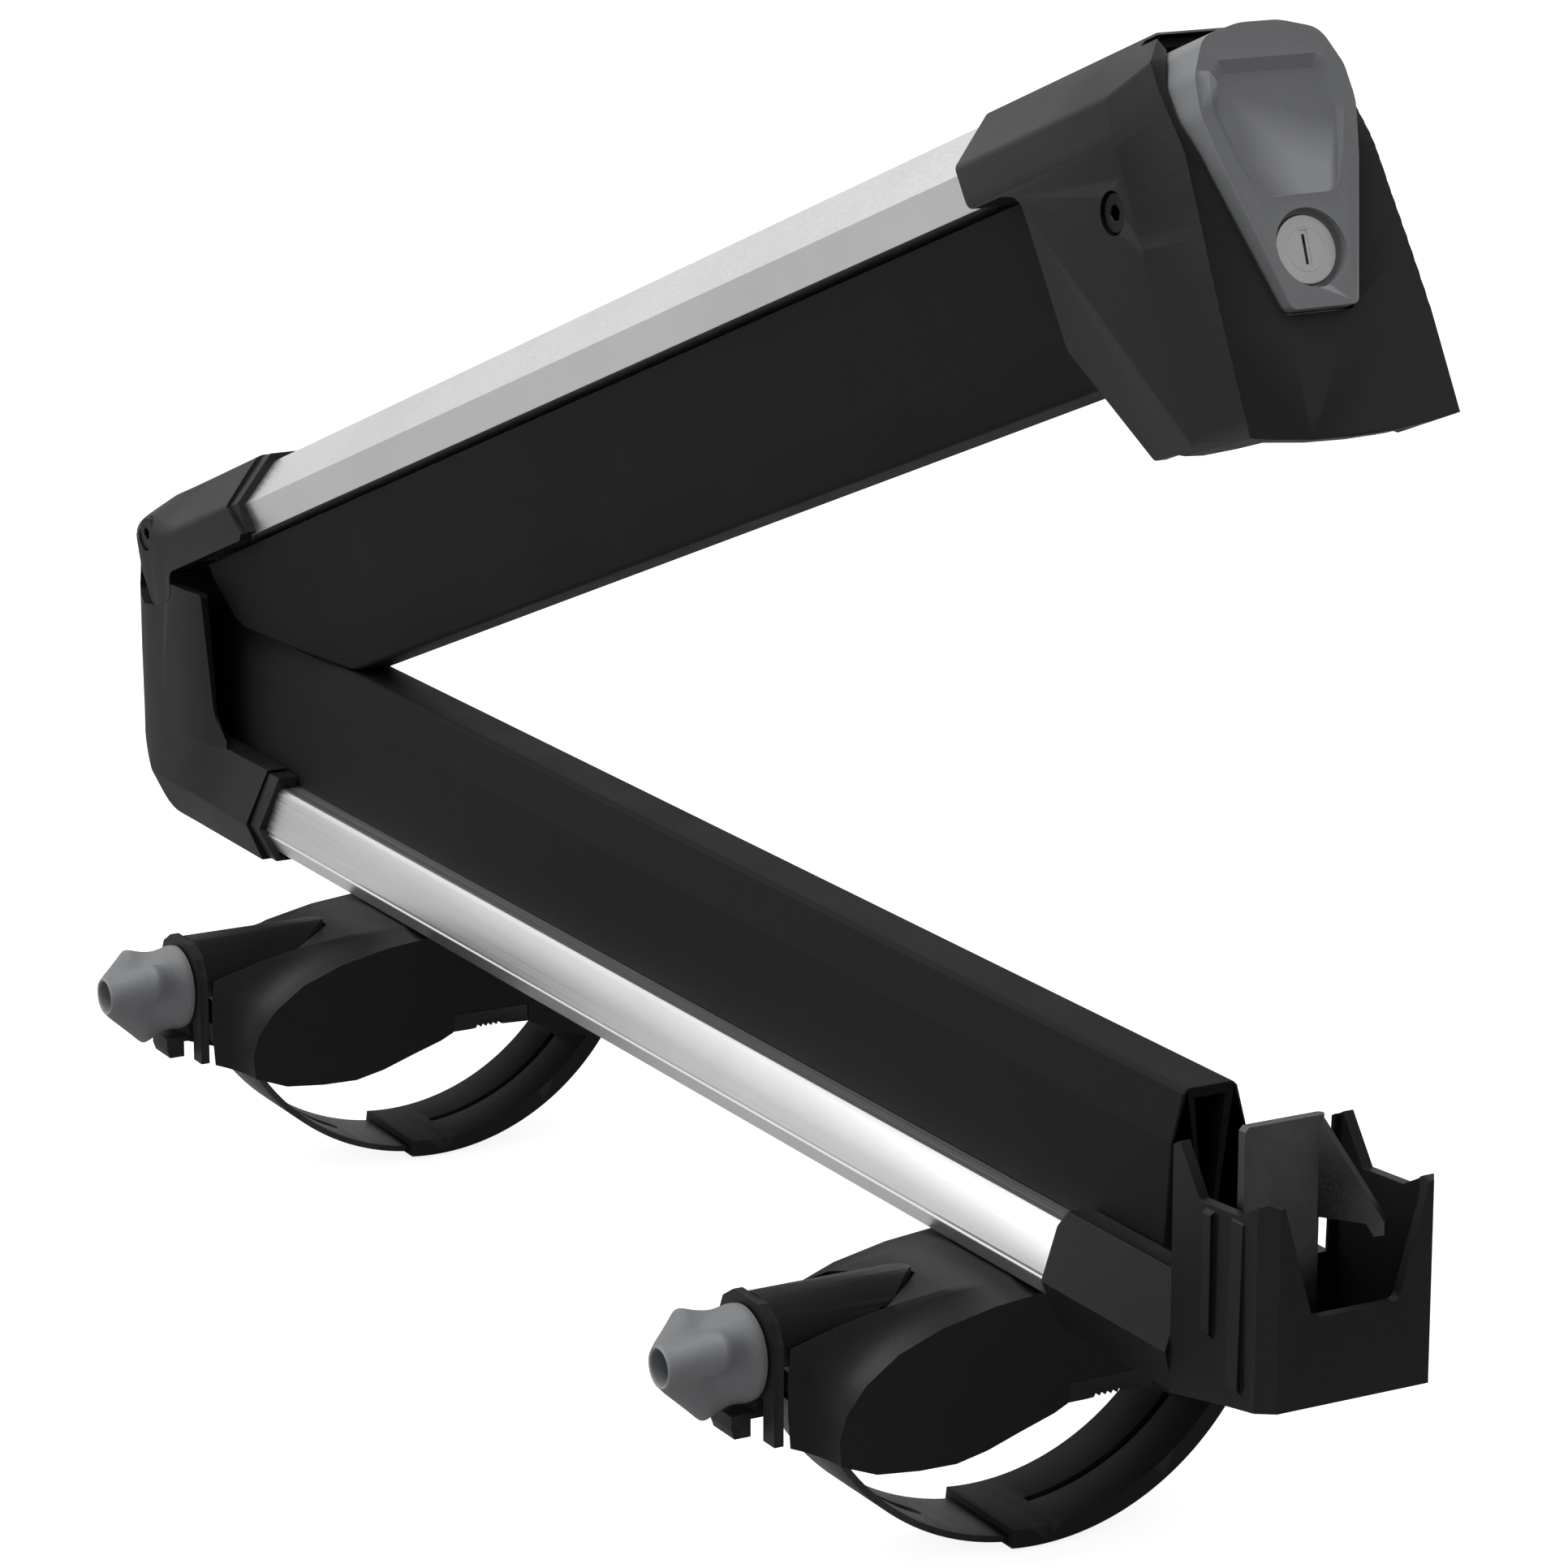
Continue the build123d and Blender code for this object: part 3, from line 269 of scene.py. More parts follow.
def finish_node(name):
    """Gives a CAD node its material, welded seams and rounded edges."""
    node = NODES[name]
    node.data.materials.clear()
    node.data.materials.append(FINISH.get(name, BLACK))
    weld = node.modifiers.new("weld", "WELD")
    weld.merge_threshold = 0.00001
    flat = node.modifiers.new("flat", "DECIMATE")
    flat.decimate_type = "DISSOLVE"
    flat.angle_limit = radians(1.0)
    bevel = node.modifiers.new("bevel", "BEVEL")
    bevel.width = WIDE_BEVEL.get(name, SMALL_BEVEL) / MM
    bevel.segments = 3
    bevel.limit_method = "ANGLE"
    bevel.angle_limit = radians(32)
    bevel.use_clamp_overlap = True
    bevel.harden_normals = True


for name in NODES:
    finish_node(name)


# ---- modelling helpers ----
def rounded(points, steps=5):
    """Closed outline of (a, b) or (a, b, radius) corners, each radius drawn as an arc."""
    outline = []
    count = len(points)
    for index, point in enumerate(points):
        here = Vector(point[:2])
        radius = point[2] if len(point) > 2 else 0.0
        if not radius:
            outline.append(tuple(here))
            continue
        back = Vector(points[index - 1][:2]) - here
        ahead = Vector(points[(index + 1) % count][:2]) - here
        half = back.angle(ahead) / 2
        reach = min(radius / tan(half), back.length * 0.49, ahead.length * 0.49)
        radius = reach * tan(half)
        centre = here + (back.normalized() + ahead.normalized()).normalized() * radius / sin(half)
        first = here + back.normalized() * reach - centre
        last = here + ahead.normalized() * reach - centre
        turn = first.angle_signed(last)
        for step in range(steps + 1):
            spoke = first.copy()
            spoke.rotate(Matrix.Rotation(-turn * step / steps, 2))
            outline.append(tuple(centre + spoke))
    return outline


def circle(a, b, radius, sides=40):
    """Points round a circle."""
    return [(a + radius * cos(2 * pi * k / sides), b + radius * sin(2 * pi * k / sides))
            for k in range(sides)]


def mirrored(points):
    """A half outline for +Y closed with its mirror image."""
    flipped = [(-point[0], *point[1:]) for point in reversed(points)]
    return points + flipped


def loft(name, rings):
    """Skin over rings of points in metres, capped at both ends."""
    bm = bmesh.new()
    rows = [[bm.verts.new(point) for point in ring] for ring in rings]
    count = len(rows[0])
    for low, high in zip(rows, rows[1:]):
        for index in range(count):
            following = (index + 1) % count
            bm.faces.new((low[index], low[following], high[following], high[index]))
    bm.faces.new(list(reversed(rows[0])))
    bm.faces.new(rows[-1])
    bmesh.ops.recalc_face_normals(bm, faces=bm.faces)
    mesh = bpy.data.meshes.new(name)
    bm.to_mesh(mesh)
    bm.free()
    solid = bpy.data.objects.new(name, mesh)
    bpy.context.collection.objects.link(solid)
    return solid


def side_prism(name, point, outline, low, high):
    """Outline seen from the side, given thickness along Y. point is arm_point or base_point."""
    return loft(name, [[point(a, b, y) for a, b in outline] for y in (low, high)])


def end_prism(name, point, outline, low, high, shear=0.0, middle=0.0):
    """Outline seen along the rail (y, height), from one place along it to another."""
    rings = []
    for along in (low, high):
        rings.append([point(along + shear * (b - middle), b, a) for a, b in outline])
    return loft(name, rings)


def plan_prism(name, point, outline, low, high):
    """Outline seen from above (along, y), given height."""
    return loft(name, [[point(a, height, b) for a, b in outline] for height in (low, high)])


def combine(target, tool, how="DIFFERENCE"):
    """Cuts, joins or intersects one solid with another and keeps the result."""
    modifier = target.modifiers.new("boolean", "BOOLEAN")
    modifier.operation = how
    modifier.solver = "EXACT"
    modifier.object = tool
    bake(target)
    bpy.data.objects.remove(tool)
    return target


def bake(target):
    """Applies a piece's modifiers."""
    graph = bpy.context.evaluated_depsgraph_get()
    mesh = bpy.data.meshes.new_from_object(target.evaluated_get(graph))
    target.modifiers.clear()
    target.data = mesh


def soften(target, width, segments=3, angle=28, crease=40):
    """Rounds edges sharper than angle degrees and smooths the rest."""
    weld = target.modifiers.new("weld", "WELD")
    weld.merge_threshold = 0.00002
    flat = target.modifiers.new("flat", "DECIMATE")
    flat.decimate_type = "DISSOLVE"
    flat.angle_limit = radians(0.6)
    bevel = target.modifiers.new("bevel", "BEVEL")
    bevel.width = width / MM
    bevel.segments = segments
    bevel.limit_method = "ANGLE"
    bevel.angle_limit = radians(angle)
    bevel.use_clamp_overlap = True
    bake(target)
    target.data.shade_smooth()
    target.data.set_sharp_from_angle(angle=radians(crease))
    normals = target.modifiers.new("normals", "WEIGHTED_NORMAL")
    normals.keep_sharp = True
    normals.weight = 100


def place(target, body, slot, material, *nodes):
    """Hands a finished piece to its body, in place of the CAD nodes it stands for."""
    target.data.materials.clear()
    target.data.materials.append(material)
    for polygon in target.data.polygons:
        polygon.material_index = 0
    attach(target, body)
    if nodes:
        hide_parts(*nodes)


def eased(points, steps=4):
    """More points along a smooth curve through the given ones."""
    rows = [Vector(point) for point in points]
    curve = []
    for index in range(len(rows) - 1):
        before = rows[max(index - 1, 0)]
        here, ahead = rows[index], rows[index + 1]
        beyond = rows[min(index + 2, len(rows) - 1)]
        for step in range(steps):
            t = step / steps
            curve.append(0.5 * (2 * here + (ahead - before) * t
                                + (2 * before - 5 * here + 4 * ahead - beyond) * t ** 2
                                + (3 * here - before - 3 * ahead + beyond) * t ** 3))
    return curve + [rows[-1]]


def rod(name, point, a, b, radius, low, high):
    """Round bar along Y."""
    return side_prism(name, point, circle(a, b, radius), low, high)


def ring_rod(name, point, a, b, radius, bore, low, high):
    """Round sleeve along Y."""
    sleeve = rod(name, point, a, b, radius, low, high)
    reach = (high - low) * 0.1
    return combine(sleeve, rod("bore", point, a, b, bore, low - reach, high + reach))


# ---- hinge end ----
PIN_RADIUS = 3.02
CAP_BOLT = (-4.6, 14.2)
LOWER_RAIL = [(17.0, 50.0), (18.2, 48.8), (20.7, 33.0), (20.5, 31.9), (18.7, 26.0)]


def make_hinge_bracket():
    """C-shaped bracket: its column flows from the cap's saddle down into the rail clamp."""
    side = rounded([
        (-327.4, 97.0, 0.8), (-325.0, 97.0, 0.5), (-324.3, 92.0, 2), (-322.6, 87.4, 3),
        (-316.0, 84.0, 3), (-308.0, 85.2, 4), (-299.8, 87.4, 3), (-295.2, 94.2, 1.2),
        (-276.6, 94.4, 1.6), (-271.5, 59.0, 9), (-263.0, 50.2, 6), (-238.0, 50.2),
        (-243.0, 33.6), (-237.0, 24.2), (-303.0, 24.2, 15), (-318.6, 40.0, 18),
        (-323.4, 72.0, 70)])
    column = side_prism("bracket", base_point, side, -25, 25)
    rings = []
    # along the rail, half width at the top, half width at the rail's corner
    for x, top, middle in ((-335.0, 15.0, 15.3), (-328.0, 17.2, 17.5), (-326.0, 19.2, 19.5),
                           (-323.0, 21.1, 21.4), (-319.0, 22.4, 22.7), (-313.0, 23.2, 23.5),
                           (-304.0, 23.4, 23.7), (-294.0, 23.4, 23.7), (-285.0, 23.0, 23.6),
                           (-277.0, 21.7, 23.6), (-269.0, 19.9, 23.6), (-261.0, 18.8, 23.6),
                           (-253.0, 18.6, 23.6), (-230.0, 18.6, 23.6)):
        section = rounded(mirrored([(top, 100.0), (top, 50.4, 4), (middle, 33.6, 2.5),
                                    (middle - 2.8, 22.0)]))
        rings.append([base_point(x, z, y) for y, z in section])
    combine(column, loft("section", rings), "INTERSECT")
    combine(column, side_prism("channel", base_point, [
        (-314.0, 50.4), (-316.5, 72.0), (-320.6, 110.0), (-260.0, 110.0), (-260.0, 50.4)],
        -19.4, 19.4))
    knuckle = side_prism("knuckle", base_point, rounded([
        (-319.5, 50.0), (-321.5, 74.0), (-318.0, 82.0, 4), (-311.0, 86.4, 4), (-309.2, 101.2, 5),
        (-298.0, 101.2, 6), (-295.6, 90.0, 5), (-299.0, 76.0, 10), (-299.0, 50.0)]), -14, 14)
    combine(column, knuckle, "UNION")
    combine(column, rod("pin", base_point, PIVOT.x * MM, PIVOT.z * MM, PIN_RADIUS, -30, 30))
    combine(column, end_prism("rail", base_point, mirrored(LOWER_RAIL), -302.0, -200.0))
    combine(column, end_prism("rubber", base_point, mirrored([(12.4, 52.0), (12.4, 44.0)]),
                              -302.0, -200.0))
    for x in (-285.0, -252.0):
        combine(column, plan_prism("screw", base_point, circle(x, 0.0, 3.6, 32), 20.0, 27.0))
    soften(column, 1.1, 4, 27)
    place(column, "base", "black_plastic", BLACK, "hinge_bracket")


def make_hinge_cap():
    """Cap over the arm's end: a rounded nose around the bolt, and tongues down to the pin."""
    side = rounded([
        (60.0, 24.9), (60.0, 10.8), (67.0, 2.0), (65.4, 0.3), (9.6, 0.3, 3.5),
        (7.4, -7.5, 6.5), (-7.2, -7.5, 6.5), (-11.2, 2.0, 14), (-15.2, 8.8, 12),
        (-14.0, 17.6, 9), (-4.0, 24.9, 10)], 8)
    cap = side_prism("cap", arm_point, side, -25, 25)
    rings = []
    # along the arm, half width, height of the shoulder's crease, half width of the top, rounding
    for u, half, crease, crown, turn in (
            (-17.5, 18.6, 19.5, 8.0, 6.0), (-16.0, 20.6, 19.5, 9.0, 7.0),
            (-14.6, 21.9, 19.0, 10.0, 8.0), (-12.6, 22.7, 18.6, 10.6, 8.0),
            (-8.6, 23.1, 18.2, 11.0, 8.0), (-2.0, 23.4, 17.2, 11.0, 8.0),
            (4.0, 23.5, 14.8, 11.0, 8.0), (10.0, 23.5, 12.8, 11.0, 7.0),
            (18.0, 23.5, 11.8, 11.0, 5.5), (30.0, 23.5, 11.6, 11.0, 4.0),
            (75.0, 23.5, 11.2, 11.0, 3.0)):
        section = rounded(mirrored([(crown, 24.9, 4.0), (half, crease, turn), (half, -20.0)]), 6)
        rings.append([arm_point(u, v, y) for y, v in section])
    combine(cap, loft("section", rings), "INTERSECT")
    combine(cap, end_prism("rail", arm_point, mirrored([(9.7, 22.2), (20.7, 10.2), (19.2, -6.0)]),
                           15.0, 120.0))
    knuckle, inner = 10.4, 14.6                # radius and half width left for the knuckle
    pocket = rod("pocket", arm_point, 0.0, 0.0, knuckle, -inner, inner)
    combine(pocket, side_prism("throat", arm_point, [
        (-knuckle, -0.5), (knuckle, -0.5), (15.4, knuckle), (15.4, -knuckle),
        (-knuckle, -knuckle)], -inner, inner), "UNION")
    combine(cap, pocket)
    combine(cap, rod("pin", arm_point, 0.0, 0.0, PIN_RADIUS, -21.4, 21.4))
    combine(cap, rod("recess", arm_point, *CAP_BOLT, 5.1, -30.0, -19.0))
    combine(cap, rod("bore", arm_point, *CAP_BOLT, 2.5, -20.0, -10.0))
    soften(cap, 1.3, 4, 30)
    place(cap, "arm", "black_plastic", BLACK, "hinge_cap")


# ---- upper rubber ----
def make_upper_rubber():
    """Hollow trapezoid under the arm, cut level above the lower rubber towards the hinge."""
    strip = end_prism("strip", arm_point, rounded(mirrored([
        (5.4, -43.2), (6.6, -42.0), (10.05, -31.2, 3), (17.0, -0.2, 0.6), (5.7, -0.2), (5.7, 2.6),
        (8.7, 2.6), (8.7, 5.8)])), 24.0, 545.0)
    combine(strip, end_prism("middle", arm_point, mirrored([(4.0, -40.6), (0.9, -5.5)]), 20, 560))
    for hand in (-1, 1):
        cell = [(hand * y, v) for y, v in ((3.0, -3.2), (9.0, -3.2), (7.5, -31.2), (6.2, -38.6))]
        combine(strip, end_prism("cell", arm_point, cell, 20, 560))
    combine(strip, side_prism("level", base_point, [
        (-340.0, 40.0), (-80.0, 40.0), (-80.0, 85.7), (-266.0, 85.7), (-271.0, 87.4),
        (-284.0, 103.0), (-340.0, 103.0)], -30, 30))
    soften(strip, 0.5, 2, 30)
    place(strip, "arm", "black_rubber", RUBBER_UPPER, "upper_rubber")


# ---- latch housing ----
HOUSING_HALF = 27.5
CROSS_BOLT = (561.4, -13.5)


def cheek_cutter(hand, depth=0.0):
    """Solid outside the soft facet between a cheek and the front, hand -1 or 1."""
    wider = 0.0 if hand < 0 else 3.0           # the far side's front is wider
    cheek = eased([
        (540.0, 18.5), (550.5, 12.2), (555.7, 9.4), (560.6, 6.4), (564.6, 2.4), (567.4, -3.2),
        (568.8, -11.2), (569.6, -19.9), (571.2, -34.0), (574.1, -53.5), (575.6, -72.0)])
    front = eased([
        (566.0, 30.0, 17.0), (572.5, 24.0, 18.0), (575.6, 19.0, 18.9), (578.0, 14.5, 19.6),
        (579.6, 9.0, 20.4), (581.0, 2.0, 21.2), (583.4, -9.0, 22.2), (584.4, -19.0, 22.9),
        (586.2, -34.0, 23.9), (588.8, -52.0, 24.7), (591.2, -73.0, 25.4)])
    rings = []
    for low, high in zip(cheek, front):
        start = Vector((low.x, low.y, HOUSING_HALF - depth))
        end = Vector((high.x, high.y, high.z + wider - depth))
        run = end - start
        outer = start - run * 0.5
        beyond = end + run * 1.2
        ring = [outer, beyond, beyond + Vector((10, 0, 30)), outer + Vector((10, 0, 30))]
        rings.append([arm_point(p.x, p.y, p.z * hand) for p in ring])
    return loft("cutter", rings)


def latch_section(shrink, low):
    """End view of the housing: flat top, slanting shoulders and upright cheeks."""
    half = HOUSING_HALF - shrink
    return mirrored([(11.0 - shrink * 0.4, 23.4 - shrink, 2.5 - shrink * 0.8),
                     (25.4 - shrink, 10.6 - shrink * 0.4, 3.5 - shrink),
                     (half, 1.0, 20), (half, low, 0)])


def make_latch_housing():
    """Hollow hood over the arm's end, open to the catch below and cut out for the button."""
    side = rounded([
        (491.0, 24.4), (562.0, 24.4, 20), (568.4, 21.4, 9), (575.0, 15.2, 8), (577.4, 9.0, 12),
        (584.0, -6.4, 24), (594.4, -71.0), (586.0, -71.0), (568.6, -66.3, 3),
        (560.6, -66.3, 2.5), (534.0, -37.4, 6), (525.6, -2.0, 12), (518.0, -0.3, 5),
        (504.0, -0.3, 4.0), (497.4, 10.9, 2.0),
    ])
    shell = side_prism("latch_shell", arm_point, side, -HOUSING_HALF, HOUSING_HALF)
    bottom = [(20.0, -68.6), (10.0, -69.6), (0.0, -69.9), (-10.0, -69.6), (-20.0, -68.6)]
    section = rounded(latch_section(0.0, -67.4))
    section = section[:len(section) // 2] + bottom + section[len(section) // 2:]
    combine(shell, end_prism("section", arm_point, section, 480, 610), "INTERSECT")
    for hand in (-1, 1):
        combine(shell, cheek_cutter(hand))
    # the hollow inside
    core = side_prism("core", arm_point, [
        (480.0, -0.4), (552.0, -0.4), (552.0, 21.2), (560.0, 21.2), (566.0, 18.6), (571.4, 13.6),
        (573.4, 8.4), (581.0, -7.4), (591.4, -74.0), (480.0, -80.0)], -30, 30)
    combine(core, end_prism("section", arm_point, rounded(latch_section(2.3, -85.0)), 470, 610),
            "INTERSECT")
    combine(core, plan_prism("plan", arm_point, [
        (470, -25.2), (572.0, -25.2), (583.0, -21.5), (600.0, -18.0),
        (600.0, 18.0), (583.0, 21.5), (572.0, 25.2), (470, 25.2)], -90, 40), "INTERSECT")
    for hand in (-1, 1):
        combine(core, cheek_cutter(hand, 2.2))
    combine(shell, core)
    # openings for the button and the rail, then the cross bolt's bosses
    brow = rounded([(-15.0, 8.0), (15.0, 8.0), (13.6, 22.5, 2.5), (-13.6, 22.5, 2.5)])
    combine(shell, end_prism("brow", arm_point, brow, 561.6, 620))
    rail = rounded(mirrored([(9.6, 21.9, 1.2), (20.7, 10.3, 1.2), (19.2, -3.0, 0)]))
    combine(shell, end_prism("rail", arm_point, rail, 480, 552))
    combine(shell, end_prism("window", arm_point, rounded(button_outline(0.6)), 561.4, 620))
    for hand in (-1, 1):
        boss = ring_rod("boss", arm_point, *CROSS_BOLT, 6.4, 2.6, hand * 20.4, hand * 26.5)
        combine(shell, boss, "UNION")
    combine(shell, rod("pocket", arm_point, *CROSS_BOLT, 4.8, -23.4, -30))
    combine(shell, rod("bore", arm_point, *CROSS_BOLT, 2.6, -30, 30))
    soften(shell, 1.3, 4, 26)
    place(shell, "arm", "black_plastic", BLACK, "latch_housing")


# ---- release button and lock ----
BUTTON_FACE = 590.0
BUTTON_TILT = -0.094
LOCK_HEIGHT = -29.5


def button_outline(grow):
    """Shield-shaped face of the release button, seen from the front."""
    return mirrored([(5.0 + grow * 0.5, 19.6 + grow, 16), (14.6 + grow * 0.8, 17.2 + grow, 6),
                     (18.6 + grow, 9.0, 8), (19.4 + grow, 1.0, 14), (16.9 + grow, -11.0, 18),
                     (8.2 + grow, -42.3 - grow, 1.6)])


def button_panel():
    """Cutter for the shallow thumb panel, deepest at the top and flush above the lock."""
    deep = rounded(mirrored([
        (12.2, 9.0, 2.5), (14.6, 0.5, 9), (12.2, -10.0, 8), (9.6, -18.0, 4)]))
    brim = rounded(mirrored([
        (15.0, 12.2, 4.0), (17.6, 0.8, 10), (15.2, -11.0, 9), (11.6, -20.4, 5)]))
    rings = []
    for outline, lift in ((deep, 0.0), (brim, 1.6)):
        ring = []
        for a, b in outline:
            surface = BUTTON_FACE + BUTTON_TILT * (b + 14.0)
            ring.append(arm_point(surface - 0.045 * (b + 17.0) + lift - 0.1, b, a))
        rings.append(ring)
    return loft("panel", rings)


def make_release_button():
    """Shield-shaped button with a thumb panel and the lock's seat."""
    side = rounded([(579.0, -43.0), (595.0, -43.0), (595.0, 12.0, 8), (588.0, 20.6, 8),
                    (566.8, 19.4, 2), (569.6, 12.0), (577.8, -8.0)])
    block = end_prism("button", arm_point, rounded(button_outline(0)), 560, BUTTON_FACE,
                      BUTTON_TILT, -14.0)
    combine(block, side_prism("profile", arm_point, side, -30, 30), "INTERSECT")
    soften(block, 2.2, 5, 30)
    bake(block)
    combine(block, button_panel())
    combine(block, arm_disc("seat", 8.55, 588.5, 600))
    combine(block, arm_disc("bore", 7.55, 560, 600))
    soften(block, 0.35, 3, 24)
    place(block, "button", "grey_plastic", GREY, "release_button")


def arm_disc(name, radius, low, high):
    """Round bar along the arm, centred on the lock."""
    return end_prism(name, arm_point, circle(0.0, LOCK_HEIGHT, radius, 64), low, high)


def make_lock():
    """Barrel face in the button and the slotted plug that turns in it."""
    barrel = arm_disc("lock_face", 7.4, 578.2, 589.2)
    soften(barrel, 0.3, 3, 30)
    bake(barrel)
    combine(barrel, arm_disc("bore", 4.72, 570, 600))
    soften(barrel, 0.02, 1, 30)
    place(barrel, "button", "lock_metal", LOCK, "lock_barrel")
    plug = arm_disc("lock_core", 4.7, 576.0, 589.2)
    slot = rounded([(-1.0, -33.7, 0.2), (1.0, -33.7, 0.2), (1.0, -25.3, 0.2), (-1.0, -25.3, 0.2)])
    combine(plug, end_prism("slot", arm_point, slot, 588.8, 595))
    keyway = [(-0.35, -32.6), (0.35, -32.6), (0.35, -26.2), (-0.35, -26.2)]
    combine(plug, end_prism("key", arm_point, keyway, 584.0, 595))
    cam = [(-2.5, -27), (2.5, -27), (2.5, -19.4), (-2.5, -19.4)]
    combine(plug, end_prism("cam", arm_point, cam, 574.4, 576.4), "UNION")
    soften(plug, 0.03, 1, 30)
    place(plug, "lock", "lock_metal", LOCK, "lock_plug")


# ---- knobs ----
KNOB_HEIGHT = 0.0155
KNOB_SIDES = 144


def make_knob(side):
    """Grip whose three lobes flare towards its coned end, around the screw's hole."""
    low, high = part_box(f"knob_{side}")
    centre = Vector(((low.x + high.x) / 2, 0, KNOB_HEIGHT))
    # distance out, plain radius, how much the lobes add
    stations = eased([
        (80.4, 11.2, 0.2), (82.0, 11.4, 0.4), (85.0, 10.7, 1.1), (88.0, 10.4, 2.4),
        (90.4, 10.4, 3.6), (91.6, 10.4, 3.9), (92.6, 10.1, 3.7), (95.0, 9.0, 2.6),
        (98.0, 7.4, 1.5), (100.6, 6.0, 0.6), (102.3, 4.8, 0.0)], 3)
    stations += [Vector((102.1, 4.3, 0.0)), Vector((101.4, 4.15, 0.0)), Vector((94.0, 4.1, 0.0))]
    rings = []
    for depth, plain, lobed in stations:
        ring = []
        for k in range(KNOB_SIDES):
            angle = 2 * pi * k / KNOB_SIDES
            wave = 0.5 + 0.5 * cos(3 * (angle + pi / 2))
            radius = (plain + lobed * (1.9 * wave ** 1.4 - 0.85)) / MM
            ring.append(centre + Vector((radius * cos(angle), -depth / MM, radius * sin(angle))))
        rings.append(ring)
    knob = loft(f"grip_{side}", rings)
    knob.data.shade_smooth()
    knob.data.set_sharp_from_angle(angle=radians(55))
    place(knob, f"{side}_knob", "grey_plastic", GREY, f"knob_{side}")


# ---- feet ----
BELLY = [(-39.2, -11.0), (-31.0, -9.3), (-22.0, -6.3), (-13.4, -3.6), (-9.8, -1.9), (13.4, -2.0),
         (16.4, -3.7), (25.0, -7.0), (33.6, -9.6), (39.0, -10.6), (44.5, -7.6), (50.0, 1.0),
         (54.2, 9.0), (54.6, 17.0), (49.5, 23.2), (38.0, 26.6)]
CREST = [(20.0, 27.1), (0.0, 27.2), (-20.0, 27.1), (-36.0, 26.8), (-50.0, 25.4), (-62.0, 23.2),
         (-76.0, 19.6), (-76.6, 12.0), (-76.6, 4.0), (-76.0, -4.2), (-62.0, -9.0), (-50.0, -10.6)]
RIDGE = [(22.0, 27.1), (2.0, 27.0), (-14.0, 26.6), (-29.0, 25.2), (-43.0, 22.4), (-54.5, 18.2),
         (-63.0, 12.2), (-68.0, 6.0), (-69.8, 0.0), (-69.2, -6.0), (-60.0, -9.6), (-49.0, -10.8)]
SHOULDER = [(25.2, 1.0), (23.4, 0.965), (21.4, 0.90), (19.4, 0.79), (17.4, 0.62), (15.4, 0.36),
            (13.7, 0.0)]                       # distance from the foot's middle, share of the ridge
CHANNEL_HALF = 13.6
STRAP_CENTRE = (-10.5, 24.0)


def foot_ring(centre, across, share):
    """Closed outline at one distance across the foot, share 0 on the crest and 1 on the flank."""
    outline = BELLY + [(cy + (ry - cy) * share, cz + (rz - cz) * share)
                       for (cy, cz), (ry, rz) in zip(CREST, RIDGE)]
    return [base_point(centre + across, z, y) for y, z in outline]


def make_foot(side):
    """Wedge under the rail: upright flanks, and hollowed shoulders up to the screw cover."""
    low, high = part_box(f"foot_body_{side}")
    centre = (low.x + high.x) * MM / 2
    rings = [foot_ring(centre, -across, share) for across, share in SHOULDER]
    rings += [foot_ring(centre, across, share) for across, share in reversed(SHOULDER)]
    foot = loft(f"foot_{side}", rings)
    # the clamp screw's channel, the strap's slot, the bar's seat and the rail bolt's hole
    left, right = centre - CHANNEL_HALF, centre + CHANNEL_HALF
    plan = [(left, -95), (right, -95), (right, -51), (centre + 0.8, -36.2),
            (centre - 0.8, -36.2), (left, -51)]
    combine(foot, plan_prism("channel", base_point, plan, -30, 23.6))
    combine(foot, plan_prism("mouth", base_point, plan, 20, 40))
    slot = [(26.0, -20.0), (60.0, -20.0), (60.0, 18.4), (46.2, 18.4)]
    slot += [(STRAP_CENTRE[0] + 57.2 * cos(radians(a)), STRAP_CENTRE[1] + 57.2 * sin(radians(a)))
             for a in (-8, -16, -24, -32, -40, -48)]
    combine(foot, loft("slot", [[base_point(centre + x, z, y) for y, z in slot]
                                for x in (-16.0, 16.0)]))
    seat = [(-9.7, -9.0), (13.4, -9.0), (13.4, 3.2), (-9.7, 3.2)]
    combine(foot, loft("seat", [[base_point(centre + x, z, y) for y, z in seat]
                                for x in (-40.0, 40.0)]))
    for radius, top in ((7.6, 12.0), (4.2, 30.0)):
        combine(foot, plan_prism("hole", base_point, circle(centre, 1.8, radius), -12.0, top))
    soften(foot, 1.5, 4, 34, 48)
    place(foot, f"{side}_foot", "black_plastic", BLACK, f"foot_body_{side}")


make_hinge_bracket()
make_hinge_cap()
make_upper_rubber()
make_latch_housing()
make_release_button()
make_lock()
for side in ("near", "far"):
    make_knob(side)
    make_foot(side)

# ---- floor and light ----
floor_z = CAD_BOX[0].z - 0.001
mesh = bpy.data.meshes.new("floor")
mesh.from_pydata([(-6, -6, floor_z), (6, -6, floor_z), (6, 6, floor_z), (-6, 6, floor_z)],
                 [], [(0, 1, 2, 3)])
floor = bpy.data.objects.new("floor", mesh)
bpy.context.collection.objects.link(floor)
paint = Shader("studio_floor")
paint.colour(paint.mix(paint.noise(3.0), (0.42, 0.42, 0.42), (0.44, 0.44, 0.44)))
paint.set(Roughness=0.9, Specular_IOR_Level=0.0, Emission_Color=(1, 1, 1, 1))
seen = paint.node("ShaderNodeLightPath").outputs["Is Camera Ray"]
paint.link(paint.ramp(seen, 0.0, 0.88, 0.0, 1.0), paint.shader.inputs["Emission Strength"])
mesh.materials.append(paint.material)

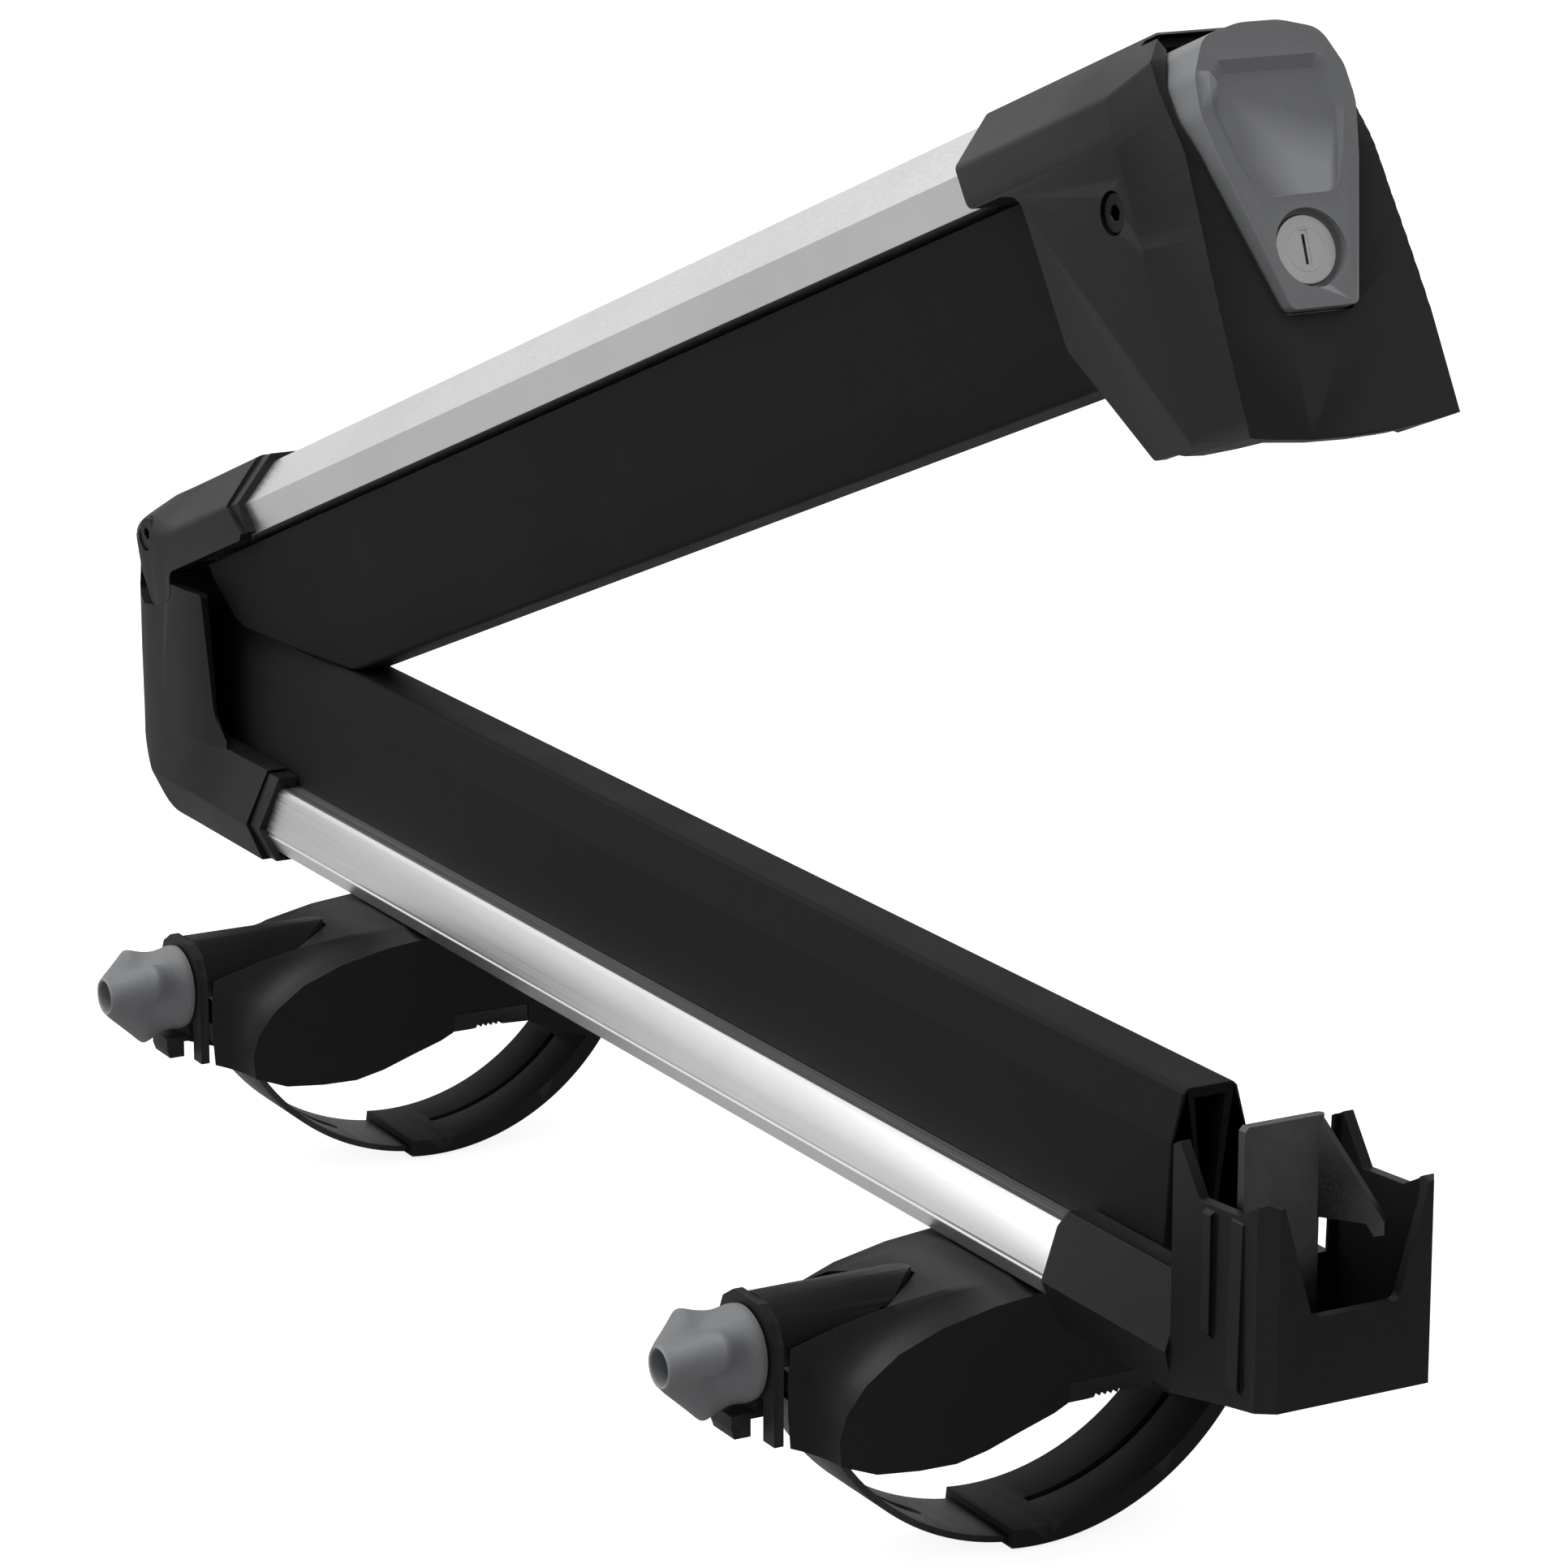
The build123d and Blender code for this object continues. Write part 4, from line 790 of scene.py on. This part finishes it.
world = bpy.data.worlds.new("studio")
bpy.context.scene.world = world
world.use_nodes = True
sky = world.node_tree
backdrop = sky.nodes["Background"]
backdrop.inputs["Color"].default_value = (1, 1, 1, 1)
backdrop.inputs["Strength"].default_value = 1.0
axes = sky.nodes.new("ShaderNodeSeparateXYZ")
coords = sky.nodes.new("ShaderNodeTexCoord")
sky.links.new(coords.outputs["Generated"], axes.inputs["Vector"])


def sky_term(axis, start, end, low, high):
    """Brightness that grows along one axis of the sky."""
    term = sky.nodes.new("ShaderNodeMapRange")
    term.inputs["From Min"].default_value = start
    term.inputs["From Max"].default_value = end
    term.inputs["To Min"].default_value = low
    term.inputs["To Max"].default_value = high
    sky.links.new(axes.outputs[axis], term.inputs["Value"])
    return term.outputs["Result"]


def sky_sum(first, second):
    """Adds two brightnesses."""
    total = sky.nodes.new("ShaderNodeMath")
    sky.links.new(first, total.inputs[0])
    sky.links.new(second, total.inputs[1])
    return total.outputs["Value"]


# soft from above, from the knobs' side and from behind the hinge; plain white to the camera
glow = sky.nodes.new("ShaderNodeBackground")
above = sky_term("Z", 0.0, 1.0, 0.10, 0.95)
flank = sky_term("Y", 0.1, -1.0, 0.0, 0.55)
behind = sky_term("X", -0.25, -0.95, 0.0, 0.6)
sky.links.new(sky_sum(sky_sum(above, flank), behind), glow.inputs["Strength"])
chosen = sky.nodes.new("ShaderNodeMixShader")
light_path = sky.nodes.new("ShaderNodeLightPath")
sky.links.new(light_path.outputs["Is Camera Ray"], chosen.inputs["Fac"])
sky.links.new(glow.outputs["Background"], chosen.inputs[1])
sky.links.new(backdrop.outputs["Background"], chosen.inputs[2])
sky.links.new(chosen.outputs["Shader"], sky.nodes["World Output"].inputs["Surface"])


def softbox(name, spot, target, size, power):
    """Rectangular area light aimed at a target."""
    data = bpy.data.lights.new(name, "AREA")
    data.shape = "RECTANGLE"
    data.size = size[0]
    data.size_y = size[1]
    data.energy = power
    light = bpy.data.objects.new(name, data)
    bpy.context.collection.objects.link(light)
    light.location = spot
    light.rotation_euler = (Vector(target) - Vector(spot)).to_track_quat("-Z", "Y").to_euler()


softbox("key_top", (-0.3, -0.6, 1.5), (0, 0, 0.15), (1.2, 0.9), 13)
softbox("side_left", (-0.5, -1.7, 0.7), (0, 0, 0.1), (1.2, 0.8), 3)
softbox("front_right", (1.7, 0.5, 0.7), (0, 0, 0.1), (0.7, 0.9), 0.8)
bpy.context.scene.view_settings.view_transform = "Standard"
